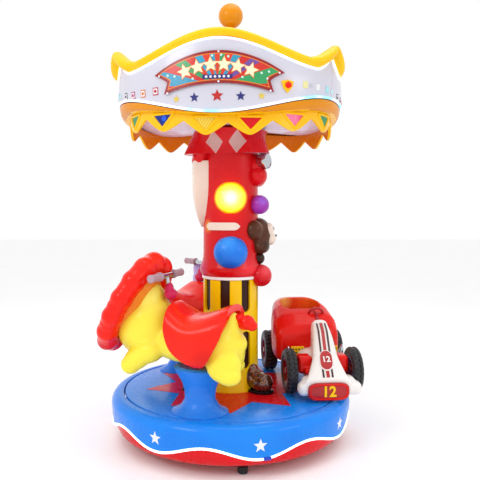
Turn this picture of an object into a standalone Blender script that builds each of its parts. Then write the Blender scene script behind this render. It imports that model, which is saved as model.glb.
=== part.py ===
"""Kiddie carousel: a three-seat children's ride whose deck, riders, centre column and canopy
turn together on a fixed round base.

Metres, +Z up, floor at z = 0, turning axis on the Z axis. The front of the ride faces -Y.
A bearing angle is measured at the axis from the front (-Y), positive towards +X.
"""

import math

import bmesh
import bpy
from mathutils import Matrix, Vector

# Driving dimensions
GAP = 0.0003
CURVED_GAP = 0.0009
SADDLE_GAP = 0.0017
HEAD_GAP = 0.0024
RING_STEPS = 48
FOOT_HEIGHT = 0.05
FOOT_RADIUS = 0.0225
FOOT_CIRCLE = 0.5
FOOT_BEARINGS = (6, 96, 186, 276)

BASE_RADIUS = 0.6
BASE_WALL = 0.025
SHELL_BOTTOM_RADIUS = 0.542
SHELL_TOP = 0.2
WAVE_COUNT = 8
WAVE_MIDDLE = 0.1125
WAVE_HEIGHT = 0.0225
WAVE_LOW_BEARING = 12
LIGHT_STRIP = 0.012
STRIP_GAP = 0.0007

DECK_RADIUS = 0.535
DECK_TOP = 0.231
DECK_THICKNESS = 0.012
HUB_RADIUS = 0.12
DECK_STAR_POINTS = 9
DECK_STAR_TIP = 0.43
DECK_STAR_NOTCH = 0.29
DECK_STAR_THICKNESS = 0.0006

COLUMN_RADIUS = 0.14
TROUSERS_TOP = 0.784
BELT_TOP = 0.80
HEM_TOP = 0.892
HEM_RADIUS = 0.157
COLLAR_BOTTOM = 1.41
COLLAR_TOP = 1.53
COLLAR_RADIUS = 0.19
COLLAR_CORNER = -75

CANOPY_RADIUS = 0.545
CANOPY_FLATTENING = 0.04
CANOPY_FRONT = -6
CANOPY_WALL = 0.02
FASCIA_BOTTOM = 1.547
FASCIA_BOTTOM_LIFT = 0.088
FASCIA_TOP = 1.871
FASCIA_TROUGH = 1.763
TROUGH_ANGLE = 49
HORN_TOP = 1.835
TOP_BEAD = 0.02
CEILING_HEIGHT = 1.545
CEILING_LIFT = 0.07
CEILING_THICKNESS = 0.012
PENNANT_RADIUS = 0.494
PENNANT_FRONT = -1.5
PENNANT_PITCH = 24
PENNANTS_PER_BAND = 5
PENNANT_THICKNESS = 0.012
PENNANT_TIP = 1.455
PENNANT_NOTCH = 1.511
PENNANT_CORNER_LIFT = 0.04
ROOF_EDGE = 1.73
ROOF_TOP = 2.01
ROOF_HUB = 0.08
FINIAL_BALL = 0.063
TOTAL_HEIGHT = 2.193

SIGN_HALF_ANGLE = 28
SIGN_TOP = 1.808
SIGN_BOTTOM = 1.669
SIGN_THICKNESS = 0.004
SIGN_STANDOFF = 0.016

RIDER_CIRCLE = 0.42
LION_BEARING = -19
CAR_BEARING = 101
CAR_TURN = -5
CAR_CIRCLE = 0.437
COCKPIT_SIZE = (0.17, 0.22, 0.24)
COCKPIT_AT = (-0.15, 0, 0.54)
ELEPHANT_BEARING = 221
PEDESTAL_TOP = 0.44
SADDLE_ROUNDNESS = 0.75


def clear_scene():
    for obj in list(bpy.data.objects):
        bpy.data.objects.remove(obj)


def new_collection(name):
    made = bpy.data.collections.new(name)
    bpy.context.scene.collection.children.link(made)
    return made


def linear(value):
    return value / 12.92 if value <= 0.04045 else ((value + 0.055) / 1.055) ** 2.4


def material(name, colour, roughness, metallic=0.0):
    """A Principled material from an sRGB hex colour."""
    made = bpy.data.materials.new(name)
    made.use_nodes = True
    shader = made.node_tree.nodes["Principled BSDF"]
    rgb = [linear(int(colour[i : i + 2], 16) / 255) for i in (1, 3, 5)]
    shader.inputs["Base Color"].default_value = (*rgb, 1)
    shader.inputs["Roughness"].default_value = roughness
    shader.inputs["Metallic"].default_value = metallic
    made.diffuse_color = (*rgb, 1)
    return made


clear_scene()
carousel = new_collection("kiddie_carousel")
helpers = new_collection("cutters")

RED_GELCOAT = ("#d8101c", 0.15)
BLUE_GELCOAT = ("#1e7fe8", 0.12)
YELLOW_GELCOAT = ("#fbd21c", 0.2)
WHITE_GELCOAT = ("#f6f4f2", 0.2)
RUBBER = ("#161616", 0.7)


def look(name, finish):
    colour, roughness = finish[:2]
    metallic = finish[2] if len(finish) > 2 else 0.0
    return material(name + "_finish", colour, roughness, metallic)


def place(name, mesh, finish, parent=None, at=(0, 0, 0), smooth=40):
    """A named object of the ride with its own material."""
    obj = bpy.data.objects.new(name, mesh)
    carousel.objects.link(obj)
    obj.location = at
    obj.parent = parent
    mesh.materials.append(look(name, finish))
    mesh.shade_smooth()
    mesh.set_sharp_from_angle(angle=math.radians(smooth))
    return obj


def empty(name, at, turn=0.0, parent=None):
    made = bpy.data.objects.new(name, None)
    carousel.objects.link(made)
    made.location = at
    made.rotation_euler = (0, 0, turn)
    made.parent = parent
    return made


def polar(radius, bearing, z):
    turn = math.radians(bearing)
    return Vector((radius * math.sin(turn), -radius * math.cos(turn), z))


def turned(name, profile, finish, steps=48, parent=None, at=(0, 0, 0)):
    """A turned shape: (radius, z) points run down the outer side and back up the inner one."""
    mesh = bpy.data.meshes.new(name)
    count = len(profile)
    edges = [(i, i + 1) for i in range(count - 1)]
    mesh.from_pydata([(r, 0, z) for r, z in profile], edges, [])
    obj = place(name, mesh, finish, parent, at)
    screw = obj.modifiers.new("turn", "SCREW")
    screw.steps = steps
    screw.render_steps = steps
    screw.use_merge_vertices = True
    screw.merge_threshold = 0.0001
    screw.use_smooth_shade = True
    return obj


def mesh_from(bm, name):
    mesh = bpy.data.meshes.new(name)
    bmesh.ops.recalc_face_normals(bm, faces=bm.faces)
    bm.to_mesh(mesh)
    bm.free()
    return mesh


def skin(rings, name, looped=False):
    """A mesh through rings of like points: capped at both ends, or closed on itself."""
    bm = bmesh.new()
    loops = [[bm.verts.new(point) for point in ring] for ring in rings]
    pairs = list(zip(loops, loops[1:]))
    if looped:
        pairs.append((loops[-1], loops[0]))
    for one, two in pairs:
        for i in range(len(one)):
            j = (i + 1) % len(one)
            bm.faces.new((one[i], one[j], two[j], two[i]))
    if not looped:
        bm.faces.new(loops[0])
        bm.faces.new(loops[-1])
    return mesh_from(bm, name)


def along_circle(name, bearings, section, finish, looped=False, parent=None):
    """A piece swept round the axis whose (radius, z) section changes with the bearing."""
    rings = [[polar(r, b, z) for r, z in section(b)] for b in bearings]
    return place(name, skin(rings, name, looped), finish, parent)


def steps_between(low, high, count):
    return [low + (high - low) * i / count for i in range(count + 1)]


def ball(size, at, across=16, around=9, turn=None):
    """A bmesh ellipsoid with its three radii."""
    bm = bmesh.new()
    bmesh.ops.create_uvsphere(bm, u_segments=across, v_segments=around, radius=1)
    bmesh.ops.scale(bm, vec=size, verts=bm.verts)
    if turn:
        axis, angle = turn
        spin = Matrix.Rotation(math.radians(angle), 3, axis)
        bmesh.ops.rotate(bm, cent=(0, 0, 0), matrix=spin, verts=bm.verts)
    bmesh.ops.translate(bm, vec=at, verts=bm.verts)
    return bm


def block(size, at, bevel=0.0, segments=2):
    """A bmesh box with its three full sides, its edges rounded."""
    bm = bmesh.new()
    bmesh.ops.create_cube(bm, size=1)
    bmesh.ops.scale(bm, vec=size, verts=bm.verts)
    if bevel:
        bmesh.ops.bevel(bm, geom=bm.edges, offset=bevel, segments=segments, profile=0.5, affect="EDGES")
    bmesh.ops.translate(bm, vec=at, verts=bm.verts)
    return bm


def rod(radius, start, end, sides=16):
    """A bmesh cylinder between two points."""
    bm = bmesh.new()
    start = Vector(start)
    end = Vector(end)
    bmesh.ops.create_cone(
        bm, cap_ends=True, segments=sides, radius1=radius, radius2=radius, depth=(end - start).length
    )
    turn = (end - start).to_track_quat("Z", "Y").to_matrix()
    bmesh.ops.rotate(bm, cent=(0, 0, 0), matrix=turn, verts=bm.verts)
    bmesh.ops.translate(bm, vec=(start + end) / 2, verts=bm.verts)
    return bm


def limb(stations, sides=14, roundness=1.0):
    """A bmesh form through stations of (centre, half width, half height) along local X.

    A roundness of 1 gives oval sections, and less gives boxy ones.
    """

    def reach(value):
        return math.copysign(abs(value) ** roundness, value)

    rings = []
    for centre, wide, high in stations:
        ring = []
        for k in range(sides):
            turn = math.tau * k / sides
            side = Vector((0, wide * reach(math.cos(turn)), high * reach(math.sin(turn))))
            ring.append(Vector(centre) + side)
        rings.append(ring)
    bm = bmesh.new()
    bm.from_mesh(skin(rings, "limb"))
    return bm


def helper(bm, name, parent=None):
    """A hidden mesh that a Boolean joins or cuts with."""
    obj = bpy.data.objects.new(name, mesh_from(bm, name))
    helpers.objects.link(obj)
    obj.parent = parent
    obj.hide_render = True
    obj.display_type = "WIRE"
    return obj


def boolean(obj, other, operation):
    step = obj.modifiers.new(operation.lower(), "BOOLEAN")
    step.operation = operation
    step.solver = "EXACT"
    step.object = other
    step.use_self = True
    return obj


def joined(name, forms, finish, parent=None):
    """One piece made of several overlapping forms."""
    obj = place(name, mesh_from(forms[0], name), finish, parent)
    for k, form in enumerate(forms[1:]):
        boolean(obj, helper(form, f"{name}_form_{k + 1}", parent), "UNION")
    return obj


def evaluated_copy(obj, name, grow):
    """A hidden copy of a finished piece, grown by a gap, that makes room for it in another."""
    bpy.context.view_layer.update()
    graph = bpy.context.evaluated_depsgraph_get()
    mesh = bpy.data.meshes.new_from_object(obj.evaluated_get(graph))
    copy = bpy.data.objects.new(name, mesh)
    helpers.objects.link(copy)
    copy.matrix_world = obj.matrix_world.copy()
    copy.hide_render = True
    copy.display_type = "WIRE"
    swell = copy.modifiers.new("gap", "DISPLACE")
    swell.strength = grow
    swell.mid_level = 0.0
    return copy


def make_room(obj, *others, gap=CURVED_GAP):
    """Cuts the finished pieces, and the gap round them, out of this one."""
    for other in others:
        room = evaluated_copy(other, f"{obj.name}_room_for_{other.name}", gap)
        boolean(obj, room, "DIFFERENCE")
    return obj


# Fixed base


def wave(bearing):
    """Height of the wavy line between the red shell and the blue rim."""
    return WAVE_MIDDLE - WAVE_HEIGHT * math.cos(
        math.radians(WAVE_COUNT * (bearing - WAVE_LOW_BEARING))
    )


def foot(number, bearing):
    pad = 0.035
    profile = [
        (0, FOOT_HEIGHT - GAP),
        (0.017, FOOT_HEIGHT - GAP),
        (0.017, pad),
        (FOOT_RADIUS, pad - 0.005),
        (FOOT_RADIUS, 0.004),
        (FOOT_RADIUS - 0.004, 0),
        (0, 0),
    ]
    turned(f"foot_{number}", profile, RUBBER, 14, at=polar(FOOT_CIRCLE, bearing, 0))


def base_shell():
    """Red lower moulding with the raised floor that carries the bearing."""

    def section(bearing):
        top = wave(bearing) - LIGHT_STRIP / 2 - STRIP_GAP
        return [
            (0.05, SHELL_TOP),
            (DECK_RADIUS - 0.005, SHELL_TOP),
            (DECK_RADIUS - 0.005, top),
            (0.572, top),
            (0.574, FOOT_HEIGHT + 0.025),
            (0.562, FOOT_HEIGHT + 0.008),
            (SHELL_BOTTOM_RADIUS, FOOT_HEIGHT),
            (0.05, FOOT_HEIGHT),
        ]

    bearings = steps_between(0, 360, RING_STEPS)[:-1]
    shell = along_circle("base_shell", bearings, section, RED_GELCOAT, looped=True)
    plug = rod(0.0501, (0, 0, FOOT_HEIGHT), (0, 0, SHELL_TOP), RING_STEPS)
    boolean(shell, helper(plug, "base_shell_middle"), "UNION")


def base_rim():
    """Blue upper moulding: a rounded shoulder that falls to the wavy edge."""
    shoulder = 0.045
    crown = BASE_RADIUS - shoulder

    def section(bearing):
        low = wave(bearing) + LIGHT_STRIP / 2 + STRIP_GAP
        outer = [(DECK_RADIUS + 0.006, DECK_TOP)]
        for k in range(5):
            turn = math.pi / 2 * k / 4
            outer.append(
                (crown + shoulder * math.sin(turn), DECK_TOP - shoulder * (1 - math.cos(turn)))
            )
        inner = BASE_RADIUS - BASE_WALL
        return outer + [
            (0.592, low),
            (inner - 0.003, low),
            (inner - 0.006, DECK_TOP - shoulder - 0.006),
            (DECK_RADIUS + 0.006, DECK_TOP - shoulder - 0.006),
        ]

    bearings = steps_between(0, 360, RING_STEPS)[:-1]
    along_circle("base_rim", bearings, section, BLUE_GELCOAT, looped=True)


def light_strip():
    """Lit strip that follows the wavy line."""

    def section(bearing):
        middle = wave(bearing)
        half = LIGHT_STRIP / 2
        return [(0.593, middle + half), (0.593, middle - half), (0.574, middle - half), (0.574, middle + half)]

    bearings = steps_between(0, 360, RING_STEPS)[:-1]
    along_circle("base_light_strip", bearings, section, ("#dff6ff", 0.3), looped=True)


def bearing_hub():
    top = DECK_TOP - DECK_THICKNESS - GAP
    low = SHELL_TOP + GAP
    profile = [(0, top), (HUB_RADIUS, top), (HUB_RADIUS, low), (0, low)]
    turned("bearing_hub", profile, ("#8d9196", 0.4, 1.0), 32)


for index, spot in enumerate(FOOT_BEARINGS):
    foot(index + 1, spot)
base_shell()
base_rim()
light_strip()
bearing_hub()

# Turning deck

turntable = empty("turntable", (0, 0, 0))


def rider_frame(name, bearing, circle=RIDER_CIRCLE, turn=0):
    """Local X is the way the rider faces, local Y points away from the column."""
    at = polar(circle, bearing, FOOT_HEIGHT)
    return empty(name, at, math.radians(180 + bearing + turn), turntable)


lion_frame = rider_frame("lion_frame", LION_BEARING)
car_frame = rider_frame("car_frame", CAR_BEARING, CAR_CIRCLE, CAR_TURN)
elephant_frame = rider_frame("elephant_frame", ELEPHANT_BEARING)


def deck():
    low = DECK_TOP - DECK_THICKNESS
    profile = [
        (0, DECK_TOP),
        (DECK_RADIUS - 0.003, DECK_TOP),
        (DECK_RADIUS, DECK_TOP - 0.003),
        (DECK_RADIUS, low),
        (0, low),
    ]
    turned("deck", profile, BLUE_GELCOAT, 64, parent=turntable)


def deck_star():
    """Raised red star round the foot of the column, notched where a pedestal stands."""
    bm = bmesh.new()
    points = []
    for k in range(2 * DECK_STAR_POINTS):
        radius = DECK_STAR_NOTCH if k % 2 else DECK_STAR_TIP
        points.append(bm.verts.new(polar(radius, 180 / DECK_STAR_POINTS * k, DECK_TOP + GAP)))
    face = bm.faces.new(points)
    grown = bmesh.ops.extrude_face_region(bm, geom=[face])
    top = [item for item in grown["geom"] if isinstance(item, bmesh.types.BMVert)]
    bmesh.ops.translate(bm, vec=(0, 0, DECK_STAR_THICKNESS), verts=top)
    return place("deck_star", mesh_from(bm, "deck_star"), RED_GELCOAT, turntable, smooth=20)


def pedestal(name, frame):
    """Flared blue stand between the deck and a rider's belly."""
    low = DECK_TOP + GAP - FOOT_HEIGHT
    high = PEDESTAL_TOP - FOOT_HEIGHT
    profile = [(0, high), (0.06, high), (0.062, high - 0.1), (0.08, low + 0.05), (0.125, low), (0, low)]
    return turned(name, profile, BLUE_GELCOAT, 28, parent=frame)


deck()
star = deck_star()
lion_pedestal = pedestal("lion_pedestal", lion_frame)
elephant_pedestal = pedestal("elephant_pedestal", elephant_frame)
make_room(star, lion_pedestal, elephant_pedestal)

# Column


def column():
    top = CEILING_HEIGHT - GAP
    jacket = turned(
        "column_body",
        [
            (0, top),
            (COLUMN_RADIUS, top),
            (COLUMN_RADIUS, HEM_TOP),
            (HEM_RADIUS, HEM_TOP - 0.055),
            (HEM_RADIUS, HEM_TOP - 0.07),
            (COLUMN_RADIUS + 0.006, BELT_TOP + GAP),
            (0, BELT_TOP + GAP),
        ],
        RED_GELCOAT, 40, parent=turntable,
    )
    turned(
        "column_belt",
        [
            (0, BELT_TOP),
            (COLUMN_RADIUS + 0.006, BELT_TOP),
            (COLUMN_RADIUS + 0.006, TROUSERS_TOP),
            (0, TROUSERS_TOP),
        ],
        WHITE_GELCOAT, 40, parent=turntable,
    )
    return jacket


def trousers():
    """Striped trouser legs: brown slots sunk into a yellow drum."""
    low = DECK_TOP + DECK_STAR_THICKNESS + 2 * GAP
    obj = turned(
        "column_trousers",
        [
            (0, TROUSERS_TOP - GAP),
            (COLUMN_RADIUS, TROUSERS_TOP - GAP),
            (COLUMN_RADIUS, low + 0.02),
            (COLUMN_RADIUS + 0.01, low),
            (0, low),
        ],
        YELLOW_GELCOAT, 40, parent=turntable,
    )
    slots = 8
    for row, (bottom, top) in enumerate(((0.36, 0.53), (0.63, TROUSERS_TOP + 0.01))):
        for k in range(slots):
            bearing = -12 + 360 / slots * k
            middle = polar(COLUMN_RADIUS + 0.01, bearing, (bottom + top) / 2)
            cutter = block((0.045, 0.03, top - bottom), (0, 0, 0))
            spin = Matrix.Rotation(math.radians(bearing), 3, "Z")
            bmesh.ops.rotate(cutter, cent=(0, 0, 0), matrix=spin, verts=cutter.verts)
            bmesh.ops.translate(cutter, vec=middle, verts=cutter.verts)
            boolean(obj, helper(cutter, f"trouser_slot_{row}_{k}", turntable), "DIFFERENCE")
    return obj


def collar():
    """Flared red collar under the ceiling: three corners stand out, and its faces run into the column."""

    def section(bearing):
        corner = ((1 + math.cos(math.radians(3 * (bearing - COLLAR_CORNER)))) / 2) ** 1.5
        outer = []
        for drop in (0, 1 / 3, 2 / 3, 1):
            hollow = 0.014 * math.sin(math.pi * drop) * (1 - corner)
            radius = (1 - drop) * COLLAR_RADIUS + drop * (0.1445 + 0.098 * corner) - hollow
            outer.append((radius, COLLAR_TOP - drop * (COLLAR_TOP - COLLAR_BOTTOM)))
        return outer + [
            (COLUMN_RADIUS + GAP, COLLAR_BOTTOM),
            (COLUMN_RADIUS + GAP, COLLAR_TOP),
        ]

    bearings = steps_between(0, 360, RING_STEPS)[:-1]
    return along_circle(
        "column_collar", bearings, section, RED_GELCOAT, looped=True, parent=turntable
    )


def on_column(name, forms, finish):
    """A relief piece whose back is cut to the column's round face."""
    obj = joined(name, forms, finish, turntable)
    core = rod(COLUMN_RADIUS + GAP, (0, 0, DECK_TOP), (0, 0, COLLAR_TOP), 40)
    boolean(obj, helper(core, f"{name}_column_room", turntable), "DIFFERENCE")
    return obj


def shoe(side, bearing):
    low = DECK_TOP + DECK_STAR_THICKNESS + 2 * GAP
    heel = polar(COLUMN_RADIUS + 0.005, bearing, low + 0.05)
    toe = polar(COLUMN_RADIUS + 0.06, bearing, low + 0.045)
    forms = [ball((0.055, 0.055, 0.06), toe, 12, 8), ball((0.045, 0.045, 0.07), heel, 12, 8)]
    obj = on_column(f"shoe_{side}", forms, ("#4a1a10", 0.15))
    flat = block((0.4, 0.4, 0.1), (toe.x, toe.y, low - 0.05))
    boolean(obj, helper(flat, f"shoe_{side}_sole_cut", turntable), "DIFFERENCE")
    make_room(obj, striped)
    return obj


jacket = column()
striped = trousers()
cape = collar()
shoe("right", 52)
shoe("left", -68)
on_column("chest_lamp", [ball((0.078, 0.05, 0.078), (0, -0.135, 1.191))], ("#ffc21a", 0.2))
blue_ball = on_column("chest_ball", [ball((0.081, 0.06, 0.081), (0, -0.135, 0.921))], BLUE_GELCOAT)
make_room(blue_ball, jacket)
on_column(
    "neck_bar",
    [block((0.15, 0.03, 0.04), (-0.045, -0.135, 1.05), 0.008, 1)],
    ("#f1e2c4", 0.3),
)
plaque = on_column(
    "side_plaque",
    [
        block((0.06, 0.165, 0.2), (-0.165, 0, 1.27), 0.015, 1),
        ball((0.05, 0.08, 0.13), (-0.143, 0, 1.17), 16, 10),
        ball((0.05, 0.1, 0.05), (-0.148, 0, 1.408), 16, 8),
    ],
    ("#f4ead6", 0.3),
)
make_room(plaque, cape, gap=SADDLE_GAP)
monkey = on_column(
    "monkey_figure",
    [
        ball((0.075, 0.1, 0.09), (0.15, -0.02, 1.0), 14, 8),
        ball((0.05, 0.06, 0.08), (0.15, -0.03, 1.3), 12, 7),
        ball((0.04, 0.05, 0.14), (0.145, 0.02, 1.13), 12, 7),
        ball((0.04, 0.05, 0.06), (0.145, -0.02, 0.89), 12, 7),
    ],
    ("#5a2a18", 0.25),
)
make_room(monkey, jacket)
for ball_name, ball_colour, ball_radius, ball_at in (
    ("juggling_ball_purple", "#6a35b0", 0.042, (0.15, -0.078, 1.16)),
    ("juggling_ball_red", "#d2141e", 0.058, (0.16, -0.05, 0.80)),
):
    juggled = on_column(ball_name, [ball([ball_radius] * 3, ball_at, 14, 8)], (ball_colour, 0.15))
    make_room(juggled, monkey)
    if ball_at[2] - ball_radius < BELT_TOP:
        make_room(juggled, jacket, bpy.data.objects["column_belt"])
side_lamp = on_column(
    "side_lamp",
    [rod(0.04, (0.13, -0.06, 1.362), (0.19, -0.1, 1.362), 20)],
    ("#c9ccd2", 0.15, 1.0),
)
make_room(side_lamp, monkey)

# Canopy


def canopy_radius(bearing):
    """Outer radius of the fascia: a circle flattened at the middle of its three panels."""
    turn = math.radians(3 * (bearing - CANOPY_FRONT))
    return CANOPY_RADIUS * (1 - CANOPY_FLATTENING * math.cos(turn))


def corner_share(bearing):
    return (1 - math.cos(math.radians(3 * (bearing - CANOPY_FRONT)))) / 2


def fascia_bottom(bearing):
    return FASCIA_BOTTOM + FASCIA_BOTTOM_LIFT * corner_share(bearing)


def fascia_top(angle):
    """Top edge of a panel: an arch between two troughs, with a horn at each corner."""
    away = abs(angle)
    if away < TROUGH_ANGLE:
        arch = (1 + math.cos(math.pi * away / TROUGH_ANGLE)) / 2
        return FASCIA_TROUGH + (FASCIA_TOP - FASCIA_TROUGH) * arch
    rise = (away - TROUGH_ANGLE) / (60 - TROUGH_ANGLE)
    return FASCIA_TROUGH + (HORN_TOP - FASCIA_TROUGH) * rise**1.5


def ceiling_under(radius, bearing):
    return CEILING_HEIGHT + CEILING_LIFT * corner_share(bearing) * radius / CANOPY_RADIUS


PANEL_EDGE = 59.95
PANEL_ANGLES = steps_between(-PANEL_EDGE, PANEL_EDGE, 20)


def fascia(number, middle):
    def section(bearing):
        outer = canopy_radius(bearing)
        top = fascia_top(bearing - middle)
        low = fascia_bottom(bearing)
        inner = outer - CANOPY_WALL
        return [(outer, top), (outer + 0.006, (top + low) / 2), (outer, low), (inner, low), (inner, top)]

    bearings = [middle + a for a in PANEL_ANGLES]
    along_circle(f"fascia_{number}", bearings, section, WHITE_GELCOAT, parent=turntable)


def top_rim(number, middle):
    """Rounded yellow bead on the panel's top edge, which curls out at the corners."""

    def section(bearing):
        angle = bearing - middle
        curl = max(0, abs(angle) - TROUGH_ANGLE) / (60 - TROUGH_ANGLE)
        centre = canopy_radius(bearing) - CANOPY_WALL / 2 + 0.03 * curl
        low = fascia_top(angle) + CURVED_GAP
        half = TOP_BEAD + 0.006 * curl
        return [
            (centre - half + 0.006, low + GAP),
            (centre - half, low + half * 0.8),
            (centre - half * 0.6, low + half * 1.6),
            (centre + half * 0.6, low + half * 1.6),
            (centre + half, low + half * 0.8),
            (centre + half - 0.006, low + GAP),
        ]

    bearings = [middle + a for a in PANEL_ANGLES]
    along_circle(f"top_rim_{number}", bearings, section, YELLOW_GELCOAT, parent=turntable)


def pennant_band(number, first):
    """Yellow band with five pointed pennants, hung from the ceiling."""

    def section(bearing):
        along = (bearing - first) / PENNANT_PITCH
        point = 1 - abs(2 * (along % 1) - 1)
        turn = math.radians(3 * (bearing - PENNANT_FRONT))
        corner = (1 - math.cos(turn)) / 2
        radius = PENNANT_RADIUS * (1 - CANOPY_FLATTENING * math.cos(turn))
        low = PENNANT_NOTCH + (PENNANT_TIP - PENNANT_NOTCH) * point + PENNANT_CORNER_LIFT * corner
        inner = radius - PENNANT_THICKNESS
        return [
            (radius, ceiling_under(radius, bearing) - CURVED_GAP),
            (radius, low),
            (inner, low),
            (inner, ceiling_under(inner, bearing) - CURVED_GAP),
        ]

    count = PENNANTS_PER_BAND * 4
    span = PENNANTS_PER_BAND * PENNANT_PITCH
    bearings = steps_between(first, first + span, count)
    bearings[0] += 0.03
    bearings[-1] -= 0.03
    along_circle(f"pennant_band_{number}", bearings, section, YELLOW_GELCOAT, parent=turntable)


def disc_between(name, radii, edge, upper, under, finish):
    """A dished disc: its faces are heights over a polar grid whose rim follows the fascia."""
    bearings = [CANOPY_FRONT + 6 * k for k in range(60)]
    outward = [[polar(edge(b) * r, b, upper(edge(b) * r, b)) for b in bearings] for r in radii]
    back = [[polar(edge(b) * r, b, under(edge(b) * r, b)) for b in bearings] for r in reversed(radii)]
    mesh = skin(outward + back, name)
    return place(name, mesh, finish, turntable)


def ceiling_and_roof():
    def edge(bearing):
        return canopy_radius(bearing) - CANOPY_WALL - GAP

    def over(radius, bearing):
        return ceiling_under(radius, bearing) + CEILING_THICKNESS

    disc_between("ceiling", (0.1, 0.6, 1), edge, over, ceiling_under, WHITE_GELCOAT)

    def roof_over(radius, bearing):
        share = max(0.0, 1 - (radius - ROOF_HUB) / (edge(bearing) - ROOF_HUB))
        return ROOF_EDGE + (ROOF_TOP - ROOF_EDGE) * min(1.0, share)

    def roof_under(radius, bearing):
        return roof_over(radius, bearing) - CEILING_THICKNESS

    disc_between("roof", (ROOF_HUB / 0.6, 0.5, 1), edge, roof_over, roof_under, WHITE_GELCOAT)


def finial():
    centre = TOTAL_HEIGHT - FINIAL_BALL
    low = ROOF_TOP + GAP
    profile = [(0, TOTAL_HEIGHT)]
    for k in range(1, 8):
        turn = math.radians(160) * k / 7
        profile.append((FINIAL_BALL * math.sin(turn), centre + FINIAL_BALL * math.cos(turn)))
    profile += [(0.026, centre - 0.075), (0.04, low + 0.02), (0.072, low), (0, low)]
    turned("finial", profile, YELLOW_GELCOAT, 20, parent=turntable)


def sign(number, middle):
    """Banner board on four stand-off pegs in front of a panel."""

    def section(bearing):
        angle = (bearing - middle) / SIGN_HALF_ANGLE
        face = canopy_radius(bearing) + SIGN_STANDOFF
        top = SIGN_TOP - 0.09 * angle**2
        low = SIGN_BOTTOM - 0.042 * angle**2
        return [(face, top), (face, low), (face - SIGN_THICKNESS, low), (face - SIGN_THICKNESS, top)]

    bearings = [middle + a for a in steps_between(-SIGN_HALF_ANGLE, SIGN_HALF_ANGLE, 14)]
    board = along_circle(f"sign_{number}", bearings, section, RED_GELCOAT, parent=turntable)
    for k, (angle, height) in enumerate(((-24, 1.69), (0, 1.7), (24, 1.69), (0, 1.79))):
        bearing = middle + angle
        outer = canopy_radius(bearing)
        start = polar(outer - 0.01, bearing, height)
        end = polar(outer + SIGN_STANDOFF - SIGN_THICKNESS / 2, bearing, height)
        boolean(board, helper(rod(0.006, start, end, 10), f"sign_{number}_peg_{k}", turntable), "UNION")
    make_room(board, bpy.data.objects[f"fascia_{number}"])


for index in range(3):
    fascia(index + 1, CANOPY_FRONT + 120 * index)
    top_rim(index + 1, CANOPY_FRONT + 120 * index)
    pennant_band(index + 1, PENNANT_FRONT - 72 + 120 * index)
    sign(index + 1, CANOPY_FRONT + 120 * index)
ceiling_and_roof()
finial()

# Lion


def lion():
    body_forms = [
        limb(
            [
                ((-0.26, 0, 0.46), 0.05, 0.05),
                ((-0.235, 0, 0.475), 0.095, 0.095),
                ((-0.17, 0, 0.51), 0.125, 0.12),
                ((-0.05, 0, 0.48), 0.14, 0.11),
                ((0.07, 0, 0.49), 0.135, 0.12),
                ((0.18, 0, 0.55), 0.115, 0.14),
                ((0.26, 0, 0.61), 0.1, 0.13),
                ((0.32, 0, 0.655), 0.09, 0.12),
            ]
        )
    ]
    for side in (-1, 1):
        body_forms.append(ball((0.07, 0.045, 0.11), (0.23, side * 0.1, 0.43), 12, 7, ("Y", -40)))
        body_forms.append(ball((0.1, 0.055, 0.1), (-0.15, side * 0.08, 0.46), 12, 7))
    body = joined("lion_body", body_forms, YELLOW_GELCOAT, lion_frame)
    make_room(body, lion_pedestal)

    tilt = math.radians(-28)
    middle = Vector((0.362, 0, 0.682))
    rings = []
    for k in range(30):
        turn = math.tau * k / 30
        lobe = 0.5 + 0.5 * math.cos(10 * turn)
        thick = 0.055 + 0.014 * lobe
        ring = []
        for j in range(8):
            bend = math.tau * j / 8
            side = (0.148 + thick * math.cos(bend)) * math.cos(turn)
            up = (0.18 + thick * math.cos(bend)) * math.sin(turn)
            point = Vector((thick * math.sin(bend), side, up))
            ring.append(middle + Matrix.Rotation(tilt, 3, "Y") @ point)
        rings.append(ring)
    mane = place("lion_mane", skin(rings, "lion_mane", looped=True), RED_GELCOAT, lion_frame)
    make_room(body, mane)
    head = joined(
        "lion_head",
        [
            ball((0.1, 0.115, 0.14), (0.375, 0, 0.685)),
            ball((0.05, 0.07, 0.05), (0.45, 0, 0.65), 12, 7),
        ],
        ("#f7a81c", 0.2), lion_frame,
    )
    make_room(head, mane, body, gap=SADDLE_GAP)

    saddle = joined(
        "lion_saddle",
        [
            limb(
                [
                    ((-0.2, 0, 0.53), 0.11, 0.13),
                    ((-0.17, 0, 0.52), 0.15, 0.145),
                    ((-0.05, 0, 0.48), 0.165, 0.13),
                    ((0.05, 0, 0.5), 0.16, 0.14),
                    ((0.1, 0, 0.53), 0.15, 0.16),
                ],
                20, SADDLE_ROUNDNESS,
            )
        ],
        RED_GELCOAT, lion_frame,
    )
    below = block((0.6, 0.6, 0.2), (-0.05, 0, 0.35))
    boolean(saddle, helper(below, "lion_saddle_hem_cut", lion_frame), "DIFFERENCE")
    make_room(saddle, body, gap=SADDLE_GAP)
    make_room(saddle, mane)

    seat = ball((0.125, 0.13, 0.12), (-0.01, 0, 0.733), 18, 10)
    boolean(saddle, helper(seat, "lion_saddle_seat_cut", lion_frame), "DIFFERENCE")

    bar = joined(
        "lion_handle",
        [
            rod(0.014, (0.16, -0.14, 0.775), (0.16, 0.14, 0.775), 12),
            rod(0.012, (0.16, 0, 0.6), (0.16, 0, 0.775), 12),
        ],
        ("#9a9ea6", 0.25, 1.0), lion_frame,
    )
    make_room(bar, body)
    make_room(bar, mane)
    tail = joined(
        "lion_tail",
        [ball((0.045, 0.035, 0.045), (-0.245, 0, 0.59), 14, 8), ball((0.03, 0.03, 0.03), (-0.215, 0, 0.58), 12, 8)],
        RED_GELCOAT, lion_frame,
    )
    make_room(tail, body, saddle)


# Race car


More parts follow.
